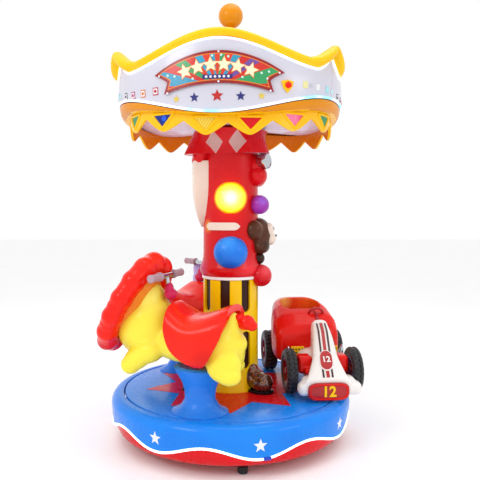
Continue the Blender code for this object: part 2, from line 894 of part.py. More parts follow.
def car():
    body = joined(
        "car_body",
        [
            limb(
                [
                    ((-0.3, 0, 0.3), 0.1, 0.05),
                    ((-0.1, 0, 0.3), 0.12, 0.06),
                    ((0.1, 0, 0.3), 0.09, 0.07),
                    ((0.33, 0, 0.26), 0.08, 0.05),
                ],
                16, 0.7,
            ),
            limb(
                [
                    ((0.0, 0.02, 0.4), 0.045, 0.09),
                    ((0.05, 0.02, 0.405), 0.048, 0.105),
                    ((0.16, 0.005, 0.38), 0.055, 0.09),
                    ((0.26, -0.005, 0.33), 0.068, 0.06),
                    ((0.33, -0.01, 0.285), 0.095, 0.035),
                    ((0.36, -0.01, 0.26), 0.12, 0.025),
                ],
                16, 0.6,
            ),
            rod(0.018, (0.2, -0.135, 0.287), (0.2, 0.135, 0.287), 12),
            rod(0.018, (-0.25, -0.15, 0.287), (-0.25, 0.15, 0.287), 12),
            block((0.06, 0.36, 0.05), (0.335, -0.005, 0.232), 0.01, 1),
        ],
        WHITE_GELCOAT, car_frame,
    )
    cowl = joined(
        "car_cowl",
        [
            limb(
                [
                    ((-0.33, 0, 0.42), 0.1, 0.12),
                    ((-0.3, 0, 0.43), 0.13, 0.15),
                    ((-0.2, 0, 0.43), 0.145, 0.157),
                    ((-0.13, 0, 0.42), 0.165, 0.15),
                    ((-0.03, 0, 0.4), 0.175, 0.13),
                    ((0.03, 0, 0.38), 0.165, 0.1),
                    ((0.05, 0, 0.37), 0.14, 0.07),
                ],
                24, 0.6,
            )
        ],
        RED_GELCOAT, car_frame,
    )
    seat_room = block(COCKPIT_SIZE, COCKPIT_AT, 0.03, 2)
    boolean(cowl, helper(seat_room, "car_cowl_cockpit_cut", car_frame), "DIFFERENCE")
    axle_height = 0.29
    deck_level = DECK_TOP - FOOT_HEIGHT
    wheel_radius = axle_height - deck_level - DECK_STAR_THICKNESS - 2 * GAP
    wheels = []
    for name, forward, inner, width in (
        ("front_left", 0.2, 0.1353, 0.06),
        ("front_right", 0.2, -0.1353, -0.06),
        ("rear_left", -0.25, 0.1503, 0.07),
        ("rear_right", -0.25, -0.1503, -0.07),
    ):
        tyre = rod(wheel_radius, (forward, inner, axle_height), (forward, inner + width, axle_height), 22)
        edges = [e for e in tyre.edges if abs(e.verts[0].co.y - e.verts[1].co.y) < 1e-6]
        bmesh.ops.bevel(tyre, geom=edges, offset=0.014, segments=2, profile=0.5, affect="EDGES")
        wheels.append(joined(f"car_wheel_{name}", [tyre], RUBBER, car_frame))
    make_room(cowl, body, *wheels[2:])
    joined(
        "car_number_plate",
        [block((0.02, 0.2, 0.075), (0.375 + GAP, -0.01, 0.232), 0.008, 1)],
        RED_GELCOAT, car_frame,
    )
    steering = joined(
        "car_steering_wheel",
        [
            rod(0.045, (-0.045, 0.02, 0.545), (-0.035, 0.02, 0.54), 18),
            rod(0.012, (-0.04, 0.02, 0.542), (0.02, 0.02, 0.5), 10),
        ],
        RUBBER, car_frame,
    )
    make_room(steering, body, cowl)


# Elephant


def elephant():
    grey = ("#b9a3dc", 0.2)
    forms = [
        limb(
            [
                ((-0.27, 0, 0.53), 0.06, 0.06),
                ((-0.22, 0, 0.52), 0.12, 0.11),
                ((-0.1, 0, 0.49), 0.145, 0.115),
                ((0.05, 0, 0.49), 0.14, 0.12),
                ((0.18, 0, 0.54), 0.12, 0.13),
                ((0.25, 0, 0.58), 0.08, 0.1),
            ]
        )
    ]
    for side in (-1, 1):
        forms.append(ball((0.05, 0.05, 0.1), (0.17, side * 0.085, 0.42), 12, 7))
        forms.append(ball((0.055, 0.055, 0.1), (-0.17, side * 0.085, 0.42), 12, 7))
    body = joined("elephant_body", forms, grey, elephant_frame)
    make_room(body, elephant_pedestal)
    head = joined(
        "elephant_head",
        [
            ball((0.12, 0.12, 0.14), (0.27, 0, 0.69)),
            limb(
                [
                    ((0.34, 0, 0.66), 0.06, 0.06),
                    ((0.405, 0, 0.6), 0.05, 0.05),
                    ((0.42, 0, 0.53), 0.04, 0.035),
                ],
                12,
            ),
            ball((0.025, 0.075, 0.12), (0.21, 0.12, 0.7), 12, 7),
            ball((0.025, 0.075, 0.12), (0.21, -0.12, 0.7), 12, 7),
        ],
        grey, elephant_frame,
    )
    make_room(head, body, gap=HEAD_GAP)
    saddle = joined(
        "elephant_saddle",
        [
            limb(
                [
                    ((-0.18, 0, 0.54), 0.14, 0.15),
                    ((-0.13, 0, 0.52), 0.168, 0.15),
                    ((0.05, 0, 0.51), 0.172, 0.16),
                    ((0.1, 0, 0.53), 0.155, 0.16),
                ],
                20, SADDLE_ROUNDNESS,
            )
        ],
        RED_GELCOAT, elephant_frame,
    )
    below = block((0.6, 0.6, 0.2), (-0.05, 0, 0.35))
    boolean(saddle, helper(below, "elephant_saddle_hem_cut", elephant_frame), "DIFFERENCE")
    seat = ball((0.125, 0.13, 0.11), (-0.03, 0, 0.733), 18, 10)
    boolean(saddle, helper(seat, "elephant_saddle_seat_cut", elephant_frame), "DIFFERENCE")
    make_room(saddle, body, gap=SADDLE_GAP)
    bar = joined(
        "elephant_handle",
        [
            rod(0.014, (0.15, -0.14, 0.775), (0.15, 0.14, 0.775), 12),
            rod(0.012, (0.15, 0, 0.6), (0.15, 0, 0.775), 12),
        ],
        ("#9a9ea6", 0.25, 1.0), elephant_frame,
    )
    make_room(bar, body)
    make_room(bar, head)


lion()
car()
elephant()
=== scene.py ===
import math

import bpy
from mathutils import Matrix, Vector


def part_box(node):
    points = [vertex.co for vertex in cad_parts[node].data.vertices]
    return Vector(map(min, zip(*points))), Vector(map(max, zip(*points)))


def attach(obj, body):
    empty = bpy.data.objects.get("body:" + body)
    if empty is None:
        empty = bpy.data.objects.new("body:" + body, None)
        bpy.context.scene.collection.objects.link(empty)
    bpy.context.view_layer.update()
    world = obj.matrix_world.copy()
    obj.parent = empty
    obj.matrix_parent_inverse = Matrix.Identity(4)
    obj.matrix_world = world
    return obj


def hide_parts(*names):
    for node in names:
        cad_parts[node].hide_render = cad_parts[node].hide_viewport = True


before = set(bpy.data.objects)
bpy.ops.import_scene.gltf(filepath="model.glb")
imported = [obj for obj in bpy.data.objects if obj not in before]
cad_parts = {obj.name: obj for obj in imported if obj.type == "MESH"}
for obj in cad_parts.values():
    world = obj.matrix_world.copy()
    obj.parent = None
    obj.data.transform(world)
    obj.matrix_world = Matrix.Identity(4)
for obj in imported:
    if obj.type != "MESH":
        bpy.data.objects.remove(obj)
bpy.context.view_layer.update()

# Camera
# The photographer stood in front of the ride with the lens a little above the riders' heads.
# Distance and eye height follow from how wide the round base and the canopy look.
FRAME_PX = 480
FOCAL_PX = 585
AXIS_PX = 230.7
HORIZON_PX = 211
CAMERA_DISTANCE = 3.015
EYE_HEIGHT = 1.126
SENSOR_MM = 36

bpy.ops.object.camera_add(location=(0, -CAMERA_DISTANCE, EYE_HEIGHT), rotation=(math.pi / 2, 0, 0))
camera = bpy.context.object
camera.name = "camera"
camera.data.sensor_width = SENSOR_MM
camera.data.lens = FOCAL_PX / FRAME_PX * SENSOR_MM
camera.data.shift_x = (FRAME_PX / 2 - AXIS_PX) / FRAME_PX
camera.data.shift_y = (HORIZON_PX - FRAME_PX / 2) / FRAME_PX
bpy.context.scene.camera = camera
bpy.context.scene.view_settings.view_transform = "Standard"

# Studio
# A plain pale floor and soft boxes: one large box on the left, a weaker one on the right,
# one above and one behind, so that the gelcoat shows long soft highlights.
FLOOR_SIZE = 40


def linear(colour):
    """An sRGB hex colour as linear red, green, blue and alpha."""
    values = [int(colour[i : i + 2], 16) / 255 for i in (1, 3, 5)]
    return (*[v / 12.92 if v <= 0.04045 else ((v + 0.055) / 1.055) ** 2.4 for v in values], 1.0)


def feed(tree, node, inputs):
    """Links or sets a node's inputs."""
    for name, value in inputs.items():
        if isinstance(value, bpy.types.NodeSocket):
            tree.links.new(value, node.inputs[name])
        else:
            node.inputs[name].default_value = value
    return node


def add_node(tree, kind, inputs=None, **settings):
    node = tree.nodes.new(kind)
    for name, value in settings.items():
        setattr(node, name, value)
    return feed(tree, node, inputs or {})


def noise(tree, place, scale, detail):
    settings = {"Vector": place, "Scale": scale, "Detail": detail}
    return add_node(tree, "ShaderNodeTexNoise", settings).outputs["Fac"]


def tinted(tree, share, low, high):
    return add_node(tree, "ShaderNodeMix", {0: share, 6: low, 7: high}, data_type="RGBA").outputs[2]


def spread(tree, value, start, end, low, high):
    """A value that runs from start to end, laid out from low to high."""
    return add_node(tree, "ShaderNodeMapRange", {
        "Value": value, "From Min": start, "From Max": end, "To Min": low, "To Max": high,
    }).outputs["Result"]


def bumps(tree, height, strength, depth):
    settings = {"Height": height, "Strength": strength, "Distance": depth}
    return add_node(tree, "ShaderNodeBump", settings).outputs["Normal"]


def maths(tree, operation, *values):
    return add_node(tree, "ShaderNodeMath", dict(enumerate(values)), operation=operation).outputs[0]


def colour_ramp(tree, share, stops, kind="LINEAR"):
    """Colours at (share, colour) stops."""
    node = add_node(tree, "ShaderNodeValToRGB", {"Fac": share})
    ramp = node.color_ramp
    ramp.interpolation = kind
    ramp.elements.remove(ramp.elements[1])
    ramp.elements[0].position, ramp.elements[0].color = stops[0][0], linear(stops[0][1])
    for spot, colour in stops[1:]:
        ramp.elements.new(spot).color = linear(colour)
    return node.outputs["Color"]


def blank_material(name):
    """A material with a Principled shader, its node tree and its object coordinates."""
    made = bpy.data.materials.new(name)
    made.use_nodes = True
    tree = made.node_tree
    shader = tree.nodes["Principled BSDF"]
    place = add_node(tree, "ShaderNodeTexCoord").outputs["Object"]
    return made, tree, shader, place


def deselect():
    """Leaves nothing selected, in object mode."""
    if bpy.context.object and bpy.context.object.mode != "OBJECT":
        bpy.ops.object.mode_set(mode="OBJECT")
    bpy.ops.object.select_all(action="DESELECT")


def floor_paint():
    # Painted board: nearly even, with a faint cloudiness over a metre or so.
    made, tree, shader, place = blank_material("floor_painted_board")
    tint = tinted(tree, noise(tree, place, 1.5, 2.0), linear("#f6f6f6"), linear("#fbfbfb"))
    feed(tree, shader, {"Base Color": tint, "Roughness": 0.55})
    return made


deselect()
bpy.ops.mesh.primitive_plane_add(size=FLOOR_SIZE)
floor = bpy.context.object
floor.name = "studio_floor"
floor.data.materials.append(floor_paint())

for light_name, light_at, light_size, light_watts in (
    ("soft_box_left", (-2.6, -2.8, 3.0), 1.6, 34),
    ("soft_box_right", (3.0, -2.2, 2.2), 1.4, 12),
    ("soft_box_top", (0.3, -0.4, 4.2), 2.6, 30),
    ("soft_box_back", (-0.6, 3.4, 2.6), 2.6, 10),
):
    bpy.ops.object.light_add(type="AREA", location=light_at)
    light = bpy.context.object
    light.name = light_name
    light.data.shape = "RECTANGLE"
    light.data.size = light_size
    light.data.size_y = light_size * 0.7
    light.data.energy = light_watts
    aim = Vector((0, 0, 0.9)) - light.location
    light.rotation_euler = aim.to_track_quat("-Z", "Y").to_euler()

world = bpy.data.worlds.new("studio_air")
world.use_nodes = True
world.node_tree.nodes["Background"].inputs["Color"].default_value = linear("#ffffff")
world.node_tree.nodes["Background"].inputs["Strength"].default_value = 1.0
bpy.context.scene.world = world

# Base mouldings
# Two gelcoated fibreglass mouldings: a red skirt below and a blue ring above it, which meet
# along a wavy line. Sprayed in an open mould, so the gloss is high with a faint orange peel.
BASE_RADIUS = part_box("base_rim")[1].x
BASE_STEPS = 192
RIM_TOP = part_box("base_rim")[1].z
RIM_SHOULDER = 0.045
RIM_WALL = 0.5965
RIM_KNEE = 0.15
DECK_OPENING = 0.541
WAVE_COUNT = 8
WAVE_MIDDLE = 0.1125
WAVE_HEIGHT = 0.0225
WAVE_LOW_BEARING = 12
LED_STRIP_HEIGHT = 0.012
FLOOR_GAP = 0.05


def polar(radius, bearing, height):
    """A point from its distance to the axis, its bearing from the front (-Y) and its height."""
    turn = math.radians(bearing)
    return Vector((radius * math.sin(turn), -radius * math.cos(turn), height))


def bearing_of(point):
    return math.degrees(math.atan2(point.x, -point.y))


def wave(bearing):
    """Height of the wavy seam at a bearing."""
    return WAVE_MIDDLE - WAVE_HEIGHT * math.cos(math.radians(WAVE_COUNT * (bearing - WAVE_LOW_BEARING)))


def spun(name, outline, steps, ring=False):
    """A turned shape: a circle is added and extruded from one (radius, height) to the next, from
    the top down. A ring is bridged from its last circle to its first, and a disc is capped."""
    deselect()
    radius, height = outline[0]
    bpy.ops.mesh.primitive_circle_add(vertices=steps, radius=radius, location=(0, 0, height))
    obj = bpy.context.object
    obj.name = name
    bpy.ops.object.transform_apply(location=True)
    bpy.ops.object.mode_set(mode="EDIT")
    bpy.ops.mesh.select_all(action="SELECT")
    if not ring:
        bpy.ops.mesh.edge_face_add()
    for (r0, z0), (r1, z1) in zip(outline, outline[1:]):
        bpy.ops.mesh.extrude_region_move(TRANSFORM_OT_translate={"value": (0, 0, z1 - z0)})
        bpy.ops.transform.resize(value=(r1 / r0, r1 / r0, 1), center_override=(0, 0, z1))
    if ring:
        bpy.ops.object.mode_set(mode="OBJECT")
        for edge in obj.data.edges:
            ends = [obj.data.vertices[v].index for v in edge.vertices]
            first = all(v < steps for v in ends)
            last = all(v >= len(obj.data.vertices) - steps for v in ends)
            edge.select = first or last
        bpy.ops.object.mode_set(mode="EDIT")
        bpy.ops.mesh.select_mode(type="EDGE")
        bpy.ops.mesh.bridge_edge_loops()
        bpy.ops.mesh.select_mode(type="VERT")
    bpy.ops.mesh.select_all(action="SELECT")
    bpy.ops.mesh.normals_make_consistent(inside=False)
    bpy.ops.object.mode_set(mode="OBJECT")
    return obj


def modify(obj, kind, **settings):
    """Adds a modifier and applies it."""
    bpy.context.view_layer.objects.active = obj
    step = obj.modifiers.new(kind.lower(), kind)
    for name, value in settings.items():
        setattr(step, name, value)
    bpy.ops.object.modifier_apply(modifier=step.name)
    return obj


def chosen(obj):
    """Makes an object the only one selected, and the active one."""
    deselect()
    obj.select_set(True)
    bpy.context.view_layer.objects.active = obj


def finished(obj, name, finish, body="turntable", angle=40, replaces=()):
    """Puts the piece's place into its mesh, smooths it, paints it and lets it ride."""
    chosen(obj)
    bpy.ops.object.transform_apply(location=True, rotation=True, scale=True)
    obj.name = name
    obj.data.name = name
    if finish is not None:
        obj.data.materials.clear()
        obj.data.materials.append(finish)
    bpy.ops.object.shade_smooth_by_angle(angle=math.radians(angle))
    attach(obj, body)
    if replaces:
        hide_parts(*replaces)
    return obj


def gelcoat(name, colour, deep=None, painted_light_clouds=(), peel=0.25):
    """Sprayed gelcoat: a clear hard gloss over one pigment, uneven by a few per cent where the
    spray was thicker. Each painted light cloud is a soft patch of painted highlight, glow or shade: (place,
    radius, colour, softness)."""
    made, tree, shader, place = blank_material(name)
    colour_now = tinted(tree, noise(tree, place, 6.0, 3.0), linear(deep or colour), linear(colour))
    for at, radius, painted_colour, softness in painted_light_clouds:
        away = add_node(tree, "ShaderNodeVectorMath", {0: place, 1: at}, operation="DISTANCE")
        share = add_node(tree, "ShaderNodeMapRange", {
            "Value": away.outputs["Value"], "From Min": radius * (1 - softness), "From Max": radius,
            "To Min": 1.0, "To Max": 0.0,
        }, interpolation_type="SMOOTHSTEP")
        colour_now = tinted(tree, share.outputs["Result"], colour_now, linear(painted_colour))
    # Rubbed patches, 4 to 8 cm across, are a little duller than the rest. The orange peel of
    # about 3 mm is a little coarser than the real 1 mm, so that it shows.
    feed(tree, shader, {
        "Base Color": colour_now, "IOR": 1.45, "Specular IOR Level": 0.2,
        "Roughness": spread(tree, noise(tree, place, 22.0, 4.0), 0.35, 0.75, 0.2, 0.34),
        "Normal": bumps(tree, noise(tree, place, 330.0, 1.0), peel, 0.0004),
        "Coat Weight": 0.12, "Coat Roughness": 0.06,
    })
    return made


red_gelcoat = gelcoat("gelcoat_red", "#e0141c", "#cc0e18")
blue_gelcoat = gelcoat("gelcoat_blue", "#1d8df4", "#1478e4")

rim = spun("base_rim_moulding", [
    (BASE_RADIUS - RIM_SHOULDER + RIM_SHOULDER * math.sin(math.pi / 2 * k / 8),
     RIM_TOP - RIM_SHOULDER * (1 - math.cos(math.pi / 2 * k / 8)))
    for k in range(9)
] + [
    (RIM_WALL, RIM_KNEE), (0.5935, 0), (0.575, 0), (0.5735, 0.17), (DECK_OPENING, 0.182),
    (DECK_OPENING, RIM_TOP - 0.003), (DECK_OPENING + 0.004, RIM_TOP),
], BASE_STEPS, ring=True)
for vertex in rim.data.vertices:
    if abs(vertex.co.z) < 0.001:
        vertex.co.z = wave(bearing_of(vertex.co)) + LED_STRIP_HEIGHT / 2 + 0.001
finished(rim, "base_rim_moulding", blue_gelcoat, "base", 35, ["base_rim"])

skirt = spun("base_skirt_moulding", [
    (0.53, 0.2), (0.53, 0), (0.5735, 0), (0.5755, 0.09), (0.574, 0.074), (0.568, 0.063),
    (0.556, 0.053), (0.542, FLOOR_GAP),
], BASE_STEPS)
for vertex in skirt.data.vertices:
    if abs(vertex.co.z) < 0.001:
        vertex.co.z = wave(bearing_of(vertex.co)) - LED_STRIP_HEIGHT / 2 - 0.001
    elif abs(vertex.co.z - 0.09) < 0.001:
        vertex.co.z = (wave(bearing_of(vertex.co)) + 0.07) / 2
finished(skirt, "base_skirt_moulding", red_gelcoat, "base", 35, ["base_shell"])

# Base light strip
# A flexible silicone tube with coloured diodes inside, clipped into the wavy seam. It is lit:
# mostly cool white, with cyan and pink stretches and one dark gap where its two ends meet.
LED_PITCH_COUNT = 220
LED_GAP_BEARING = 15


def light_tube(name, count, glow):
    """Milky silicone over a row of diodes; the diodes show as small brighter spots."""
    made, tree, shader, place = blank_material(name)
    parts = add_node(tree, "ShaderNodeSeparateXYZ", {"Vector": place})
    turn = maths(tree, "ARCTAN2", parts.outputs["X"], maths(tree, "MULTIPLY", parts.outputs["Y"], -1.0))
    pulse = maths(tree, "SINE", maths(tree, "MULTIPLY", turn, float(count)))
    tint = colour_ramp(tree, noise(tree, place, 7.0, 1.0), (
        (0.3, "#8fe9ff"), (0.42, "#f2feff"), (0.6, "#f4f8ff"), (0.72, "#ffd0ea"),
    ))
    feed(tree, shader, {
        "Base Color": tint, "Emission Color": tint, "Roughness": 0.35,
        "Emission Strength": spread(tree, pulse, -1.0, 1.0, glow * 0.55, glow),
    })
    return made


lit_silicone = light_tube("silicone_light_tube", LED_PITCH_COUNT, 1.5)
strip = spun("base_light_tube", [
    (0.584, 0.0055), (0.5915, 0.0052), (0.5955, 0.003), (0.597, 0.0), (0.5955, -0.003), (0.5915, -0.0052),
    (0.584, -0.0055), (0.577, -0.0052), (0.577, 0.0052),
], BASE_STEPS, ring=True)
for vertex in strip.data.vertices:
    vertex.co.z += wave(bearing_of(vertex.co))
finished(strip, "base_light_tube", lit_silicone, "base", 60, ["base_light_strip"])


def plain_finish(name, colour, roughness, metallic=0.0, grain=60.0, relief=0.1, depth=0.0003):
    """A small part's finish with its own grain: colour and roughness wander with it."""
    made, tree, shader, place = blank_material(name)
    speck = noise(tree, place, grain, 4.0)
    dark = [value * 0.8 for value in linear(colour)[:3]] + [1.0]
    feed(tree, shader, {
        "Base Color": tinted(tree, speck, dark, linear(colour)), "Metallic": metallic,
        "Roughness": spread(tree, speck, 0.0, 1.0, roughness * 0.8, roughness * 1.3),
        "Normal": bumps(tree, speck, relief, depth),
    })
    return made


# The tube's ends meet in a small dark blue joint sleeve.
blue_sleeve = plain_finish("shrink_sleeve_blue", "#1440c0", 0.35)
deselect()
bpy.ops.mesh.primitive_cylinder_add(
    vertices=24, radius=0.0075, depth=0.034,
    location=polar(0.5925, LED_GAP_BEARING, wave(LED_GAP_BEARING)),
    rotation=(0, math.pi / 2, math.radians(LED_GAP_BEARING)),
)
sleeve = bpy.context.object
modify(sleeve, "BEVEL", width=0.0025, segments=3)
finished(sleeve, "light_tube_joint_sleeve", blue_sleeve, "base")

# Stars on the base
# White five-point stars of thin vinyl, cut and stuck on the blue ring above each dip of the seam.
STAR_TIP = 0.031
STAR_BEARINGS = [WAVE_LOW_BEARING + 360 / WAVE_COUNT * k for k in range(WAVE_COUNT)]
STAR_HEIGHT = 0.15


def star_sheet(name, points, tip, notch, thickness, divide=0):
    """A flat star in the XZ plane that faces -Y, cut from sheet."""
    deselect()
    bpy.ops.mesh.primitive_circle_add(vertices=points * 2, radius=1, rotation=(math.pi / 2, 0, 0))
    obj = bpy.context.object
    bpy.ops.object.transform_apply(rotation=True)
    obj.name = name
    for k, vertex in enumerate(obj.data.vertices):
        turn = math.pi * k / points
        reach = notch if k % 2 else tip
        vertex.co = (reach * math.sin(turn), 0, reach * math.cos(turn))
    bpy.ops.object.mode_set(mode="EDIT")
    bpy.ops.mesh.select_all(action="SELECT")
    bpy.ops.mesh.edge_face_add()
    bpy.ops.mesh.poke()
    if divide:
        bpy.ops.mesh.subdivide(number_cuts=divide)
    bpy.ops.mesh.normals_make_consistent(inside=False)
    bpy.ops.object.mode_set(mode="OBJECT")
    if obj.data.polygons[0].normal.y > 0:
        obj.data.flip_normals()
    if thickness:
        modify(obj, "SOLIDIFY", thickness=thickness, offset=1)
    return obj


def joined(pieces):
    """Several meshes as one."""
    deselect()
    for piece in pieces:
        piece.select_set(True)
    bpy.context.view_layer.objects.active = pieces[0]
    if len(pieces) > 1:
        bpy.ops.object.join()
    return pieces[0]


def copied(obj, name):
    made = obj.copy()
    made.data = obj.data.copy()
    made.name = name
    bpy.context.scene.collection.objects.link(made)
    return made


def wrapped(obj, bearing, height, surface):
    """Bends a flat piece, drawn round the origin and facing -Y, onto a surface round the axis:
    surface(bearing, height) is the distance of that surface from the axis."""
    around = surface(bearing, height)
    for vertex in obj.data.vertices:
        spot = bearing + math.degrees(vertex.co.x / around)
        up = height + vertex.co.z
        vertex.co = polar(surface(spot, up) - vertex.co.y, spot, up)
    return obj


def rim_wall(bearing, height):
    """The blue ring's outer wall leans out a little up to its shoulder."""
    return RIM_WALL + (height - RIM_KNEE) * (0.055 if height < RIM_KNEE else 0.095)


white_vinyl = plain_finish("vinyl_white", "#f4f8ff", 0.3, grain=25.0)
pattern = star_sheet("star_pattern", 5, STAR_TIP, STAR_TIP * 0.42, 0.0008, 2)
stars = [
    wrapped(copied(pattern, f"base_star_{index + 1}"), spot, STAR_HEIGHT, rim_wall)
    for index, spot in enumerate(STAR_BEARINGS)
]
bpy.data.objects.remove(pattern)
finished(joined(stars), "base_stars", white_vinyl, "base")

# Feet and bearing
# Moulded rubber levelling feet under the frame, and the turned steel of the slewing bearing.
foot_rubber = plain_finish("rubber_moulded_black", "#181818", 0.6, grain=140.0, relief=0.3)
bearing_steel = plain_finish("steel_turned", "#9a9ea4", 0.3, 1.0, grain=200.0)


def repaint(node_name, finish):
    """A CAD node keeps its shape and gets its procedural finish."""
    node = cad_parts[node_name]
    node.data.materials.clear()
    node.data.materials.append(finish)


for index in range(4):
    repaint(f"foot_{index + 1}", foot_rubber)
repaint("bearing_hub", bearing_steel)

# Deck
# A round blue gelcoated board that turns with the riders, with a rounded lip and a flat red
# star painted round the foot of the column.
DECK_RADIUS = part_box("deck")[1].x
DECK_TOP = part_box("deck")[1].z
DECK_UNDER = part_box("deck")[0].z

deck = spun("deck_board", [
    (0.02, DECK_TOP), (0.2, DECK_TOP), (0.4, DECK_TOP), (DECK_RADIUS - 0.006, DECK_TOP),
    (DECK_RADIUS - 0.002, DECK_TOP - 0.0015), (DECK_RADIUS, DECK_TOP - 0.005), (DECK_RADIUS, DECK_UNDER),
    (0.02, DECK_UNDER),
], BASE_STEPS)
finished(deck, "deck_board", blue_gelcoat, angle=35, replaces=["deck"])
repaint("deck_star", red_gelcoat)

# Column jacket
# The centre post is dressed as a figure: a red gelcoated jacket that flares to a hem above the
# trousers, moulded in two halves round the steel post and bolted inside.
COLUMN_RADIUS = 0.14
COLUMN_STEPS = 128
JACKET_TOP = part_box("column_body")[1].z
JACKET_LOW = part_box("column_body")[0].z

# Its clouds are painted light: a brighter red glow round the chest lamp, a painted orange glow beside the
# neck bar, a pink-purple tint at the hem's left and a lighter red painted highlight at the hem's right.
jacket_gelcoat = gelcoat("gelcoat_red_jacket", "#dc1018", "#c80c14", painted_light_clouds=(
    ((0, -0.14, 1.191), 0.14, "#ee2a10", 1.0),
    ((-0.12, -0.085, 1.05), 0.045, "#e8941e", 0.9),
    ((-0.15, -0.06, 0.835), 0.075, "#c22462", 1.0),
    ((0.09, -0.12, 0.84), 0.09, "#f0323c", 1.0),
))
jacket = spun("column_jacket", [
    (0.05, JACKET_TOP), (COLUMN_RADIUS, JACKET_TOP), (COLUMN_RADIUS, 1.2), (COLUMN_RADIUS, 0.92),
    (0.1412, 0.893), (0.1465, 0.868), (0.154, 0.849), (0.1575, 0.836), (0.1565, 0.822), (0.151, 0.81),
    (0.1465, JACKET_LOW), (0.05, JACKET_LOW),
], COLUMN_STEPS)
finished(jacket, "column_jacket", jacket_gelcoat, angle=50, replaces=["column_body"])

# Collar
# A jester's collar under the canopy: three dropped corners that stand out from the column, and
# between them a face that runs into the jacket. Pale diamonds are stuck on each face.
COLLAR_TOP = 1.53
COLLAR_LOW = 1.41
COLLAR_CORNER = -75


def collar_wall(bearing, height):
    corner = ((1 + math.cos(math.radians(3 * (bearing - COLLAR_CORNER)))) / 2) ** 1.5
    drop = min(1.0, max(0.0, (COLLAR_TOP - height) / (COLLAR_TOP - COLLAR_LOW)))
    hollow = 0.014 * math.sin(math.pi * drop) * (1 - corner)
    return (1 - drop) * 0.19 + drop * (0.1425 + 0.1 * corner) - hollow


rose_gelcoat = gelcoat("gelcoat_rose_underside", "#e88a9c", "#d86a80")
collar = spun("column_collar_cape", [
    (0.2, COLLAR_TOP - (COLLAR_TOP - COLLAR_LOW) * k / 12) for k in range(13)
] + [(0.1415, COLLAR_LOW + 0.004), (0.1415, COLLAR_TOP)], COLUMN_STEPS + 16, ring=True)
for vertex in collar.data.vertices:
    if vertex.co.xy.length > 0.15:
        bearing = bearing_of(vertex.co)
        vertex.co = polar(collar_wall(bearing, vertex.co.z), bearing, vertex.co.z)
collar.data.materials.append(red_gelcoat)
collar.data.materials.append(rose_gelcoat)
for face in collar.data.polygons:
    face.material_index = 1 if face.normal.z < -0.5 and face.center.z < COLLAR_LOW + 0.02 else 0
finished(collar, "column_collar_cape", None, angle=35, replaces=["column_collar"])

pale_vinyl = plain_finish("vinyl_pale_rose", "#d8aaa4", 0.28, grain=25.0)
pink_vinyl = plain_finish("vinyl_pink_edge", "#f0b4b0", 0.28, grain=25.0)
diamonds, diamond_edges = [], []
for face_index in range(3):
    for aside in (-15, 25):
        for scale, kept, lift in ((1.0, diamond_edges, 0.0), (0.93, diamonds, 0.0004)):
            plate = star_sheet("collar_diamond", 2, 0.056 * scale, 0.04 * scale, 0.0008, 5)
            for vertex in plate.data.vertices:
                vertex.co.y -= lift
            middle = COLLAR_CORNER + 60 + 120 * face_index + aside
            kept.append(wrapped(plate, middle, 1.466, collar_wall))
finished(joined(diamond_edges), "collar_diamond_edges", pink_vinyl)
finished(joined(diamonds), "collar_diamonds", pale_vinyl)

# Trousers
# A yellow moulded drum with two rows of eight round-ended slots; the brown inner drum shows in
# them. The two are separate mouldings that slide over each other.
TROUSER_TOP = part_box("column_trousers")[1].z
TROUSER_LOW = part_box("column_trousers")[0].z
SLOT_WIDTH = 0.05
SLOT_ROWS = ((0.345, 0.53), (0.625, 0.83))
SLOT_BEARINGS = [-12 + 45 * k for k in range(8)]

yellow_gelcoat = gelcoat("gelcoat_yellow", "#ffd40a", "#f6c404")
brown_gelcoat = gelcoat("gelcoat_brown", "#3c1c14", "#2c120c")
drum = spun("column_trousers_drum", [
    (COLUMN_RADIUS - 0.002, TROUSER_TOP), (COLUMN_RADIUS, TROUSER_TOP - 0.002), (COLUMN_RADIUS, 0.6),
    (COLUMN_RADIUS, 0.3), (COLUMN_RADIUS + 0.002, 0.262), (COLUMN_RADIUS + 0.009, 0.236),
    (COLUMN_RADIUS + 0.009, TROUSER_LOW), (COLUMN_RADIUS - 0.01, TROUSER_LOW),
    (COLUMN_RADIUS - 0.01, TROUSER_TOP),
], COLUMN_STEPS, ring=True)
cutters = []
for low, high in SLOT_ROWS:
    for spot in SLOT_BEARINGS:
        deselect()
        bpy.ops.mesh.primitive_cube_add(size=1, location=polar(COLUMN_RADIUS, spot, (low + high) / 2),
                                        rotation=(0, 0, math.radians(spot)),
                                        scale=(SLOT_WIDTH, 0.06, high - low))
        cutter = bpy.context.object
        bpy.ops.object.transform_apply(location=False, rotation=False, scale=True)
        bpy.ops.object.mode_set(mode="EDIT")
        bpy.ops.mesh.select_all(action="DESELECT")
        bpy.ops.object.mode_set(mode="OBJECT")
        for edge in cutter.data.edges:
            one, two = (cutter.data.vertices[v].co for v in edge.vertices)
            edge.select = abs(one.y - two.y) > 0.01
        bpy.ops.object.mode_set(mode="EDIT")
        bpy.ops.mesh.bevel(offset=SLOT_WIDTH / 2 - 0.0005, segments=8, affect="EDGES")
        bpy.ops.object.mode_set(mode="OBJECT")
        cutters.append(cutter)
slots = joined(cutters)
modify(drum, "BOOLEAN", object=slots, operation="DIFFERENCE", solver="EXACT")
bpy.data.objects.remove(slots)
finished(drum, "column_trousers_drum", yellow_gelcoat, angle=25, replaces=["column_trousers"])
lining = spun("column_trousers_lining", [
    (0.04, TROUSER_TOP - 0.001), (COLUMN_RADIUS - 0.011, TROUSER_TOP - 0.001),
    (COLUMN_RADIUS - 0.011, TROUSER_LOW + 0.001), (0.04, TROUSER_LOW + 0.001),
], COLUMN_STEPS)
finished(lining, "column_trousers_lining", brown_gelcoat)

